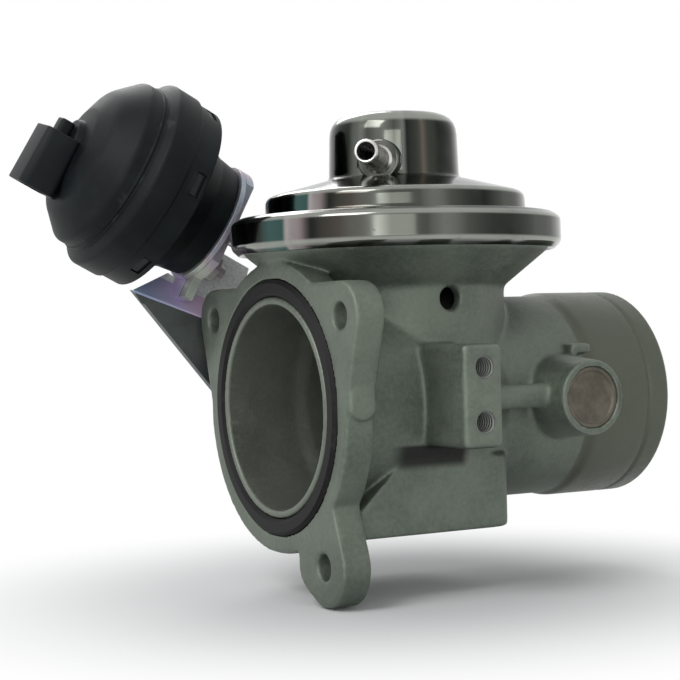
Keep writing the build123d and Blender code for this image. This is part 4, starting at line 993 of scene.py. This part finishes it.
class EGR_OT_actuator(bpy.types.Operator):
    """Moulded actuator: cap with connector and snap windows, and can with snap noses."""

    bl_idname = "egr.actuator"
    bl_label = "Actuator mouldings"

    def execute(self, context):
        self.cap()
        self.can()
        return {"FINISHED"}

    def around(self, middle, size):
        """Like blocks at equal turns about the actuator's axis."""
        turns = [Matrix.Rotation(2 * pi * step / SNAPS, 4, "Z") for step in range(SNAPS)]
        return [block(ACTUATOR_AXIS @ turn, middle, size) for turn in turns]

    def cap(self):
        """Cap with the connector's shroud, its own vacuum nipple and the snap windows."""
        added = [turned(CAP_TOP, ACTUATOR_AXIS, 64)]
        added += [block(SOCKET_AXIS, *shape) for shape in (SHROUD, SHROUD_NUB, SHROUD_TAB)]
        added += [turned(CAP_PORT, PORT_AXIS, 48)]
        cap = combined(turned(CAP, ACTUATOR_AXIS, 160), added, "UNION")
        cuts = [block(SOCKET_AXIS, *SHROUD_HOLLOW), cylinder(PORT_AXIS, *PORT_BORE)]
        cap = combined(cap, cuts + self.around(*SNAP_WINDOW), "DIFFERENCE")
        seat_piece(cap, "moulded_cap", "actuator_cap", MOULDED_CREASE)

    def can(self):
        """Lower can with the noses that snap into the cap."""
        can = combined(turned(CAN, ACTUATOR_AXIS, 128), self.around(*SNAP_NOSE), "UNION")
        seat_piece(can, "moulded_can", "actuator_can", MOULDED_CREASE)


class EGR_OT_fittings(bpy.types.Operator):
    """Pressed bracket, base ring, fasteners, core plug, lever parts and seal, with broken edges."""

    bl_idname = "egr.fittings"
    bl_label = "Bracket and fittings"

    def execute(self, context):
        for node, width in BEVELS.items():
            eased(node, f"{node}_piece", width)
        seat_piece(turned(PLUG, PLUG_AXIS, 96), "pressed_plug", "core_plug", TURNED_CREASE)
        return {"FINISHED"}


class EGR_OT_springs(bpy.types.Operator):
    """Return springs of the valve and the actuator."""

    bl_idname = "egr.springs"
    bl_label = "Springs"

    def execute(self, context):
        self.spring("egr_spring", "valve_spring", "valve_lift", VALVE_LIFT, Vector((0, 0, 1)))
        self.spring("actuator_spring", "rod_spring", "rod_pull", ROD_PULL, ROD_WAY)
        return {"FINISHED"}

    def spring(self, node, name, joint, travel, along):
        """Coil copied from its node onto that node's body, with a mesh of its own."""
        piece = seat_piece(copy_of(node), name, node, COIL_CREASE)
        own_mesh(piece)


class EGR_OT_plain_nodes(bpy.types.Operator):
    """Finishes for the pieces whose CAD shape shows as it is, inside and out."""

    bl_idname = "egr.plain_nodes"
    bl_label = "Inner pieces"

    def execute(self, context):
        for name, node in NODES.items():
            if not node.hide_render:
                node.data.materials.clear()
                node.data.materials.append(finish_of(name))
        return {"FINISHED"}


class EGR_PT_sidebar(bpy.types.Panel):
    """Lists the settings and the steps that dress the valve."""

    bl_idname = "EGR_PT_sidebar"
    bl_label = "EGR valve"
    bl_space_type = "VIEW_3D"
    bl_region_type = "UI"
    bl_category = "EGR valve"

    def draw(self, context):
        for group in LOOKS:
            settings = getattr(context.scene, group)
            for name in type(settings).__annotations__:
                self.layout.prop(settings, name)
        for step in STEPS:
            self.layout.operator(step.bl_idname)


LOOKS = {
    "egr_casting": CastingLook,
    "egr_cover": CoverLook,
    "egr_plate": PlateLook,
    "egr_moulding": MouldingLook,
    "egr_stage": StageLook,
}
STEPS = (
    EGR_OT_stage,
    EGR_OT_housing,
    EGR_OT_cover,
    EGR_OT_actuator,
    EGR_OT_fittings,
    EGR_OT_springs,
    EGR_OT_plain_nodes,
)
CLASSES = (*LOOKS.values(), *STEPS, EGR_PT_sidebar)


def register():
    for item in CLASSES:
        bpy.utils.register_class(item)
    for name, look in LOOKS.items():
        setattr(bpy.types.Scene, name, PointerProperty(type=look))


def unregister():
    for name in LOOKS:
        delattr(bpy.types.Scene, name)
    for item in reversed(CLASSES):
        bpy.utils.unregister_class(item)


def main():
    register()
    for step in STEPS:
        area, action = step.bl_idname.split(".")
        getattr(getattr(bpy.ops, area), action)()


if __name__ == "__main__":
    main()
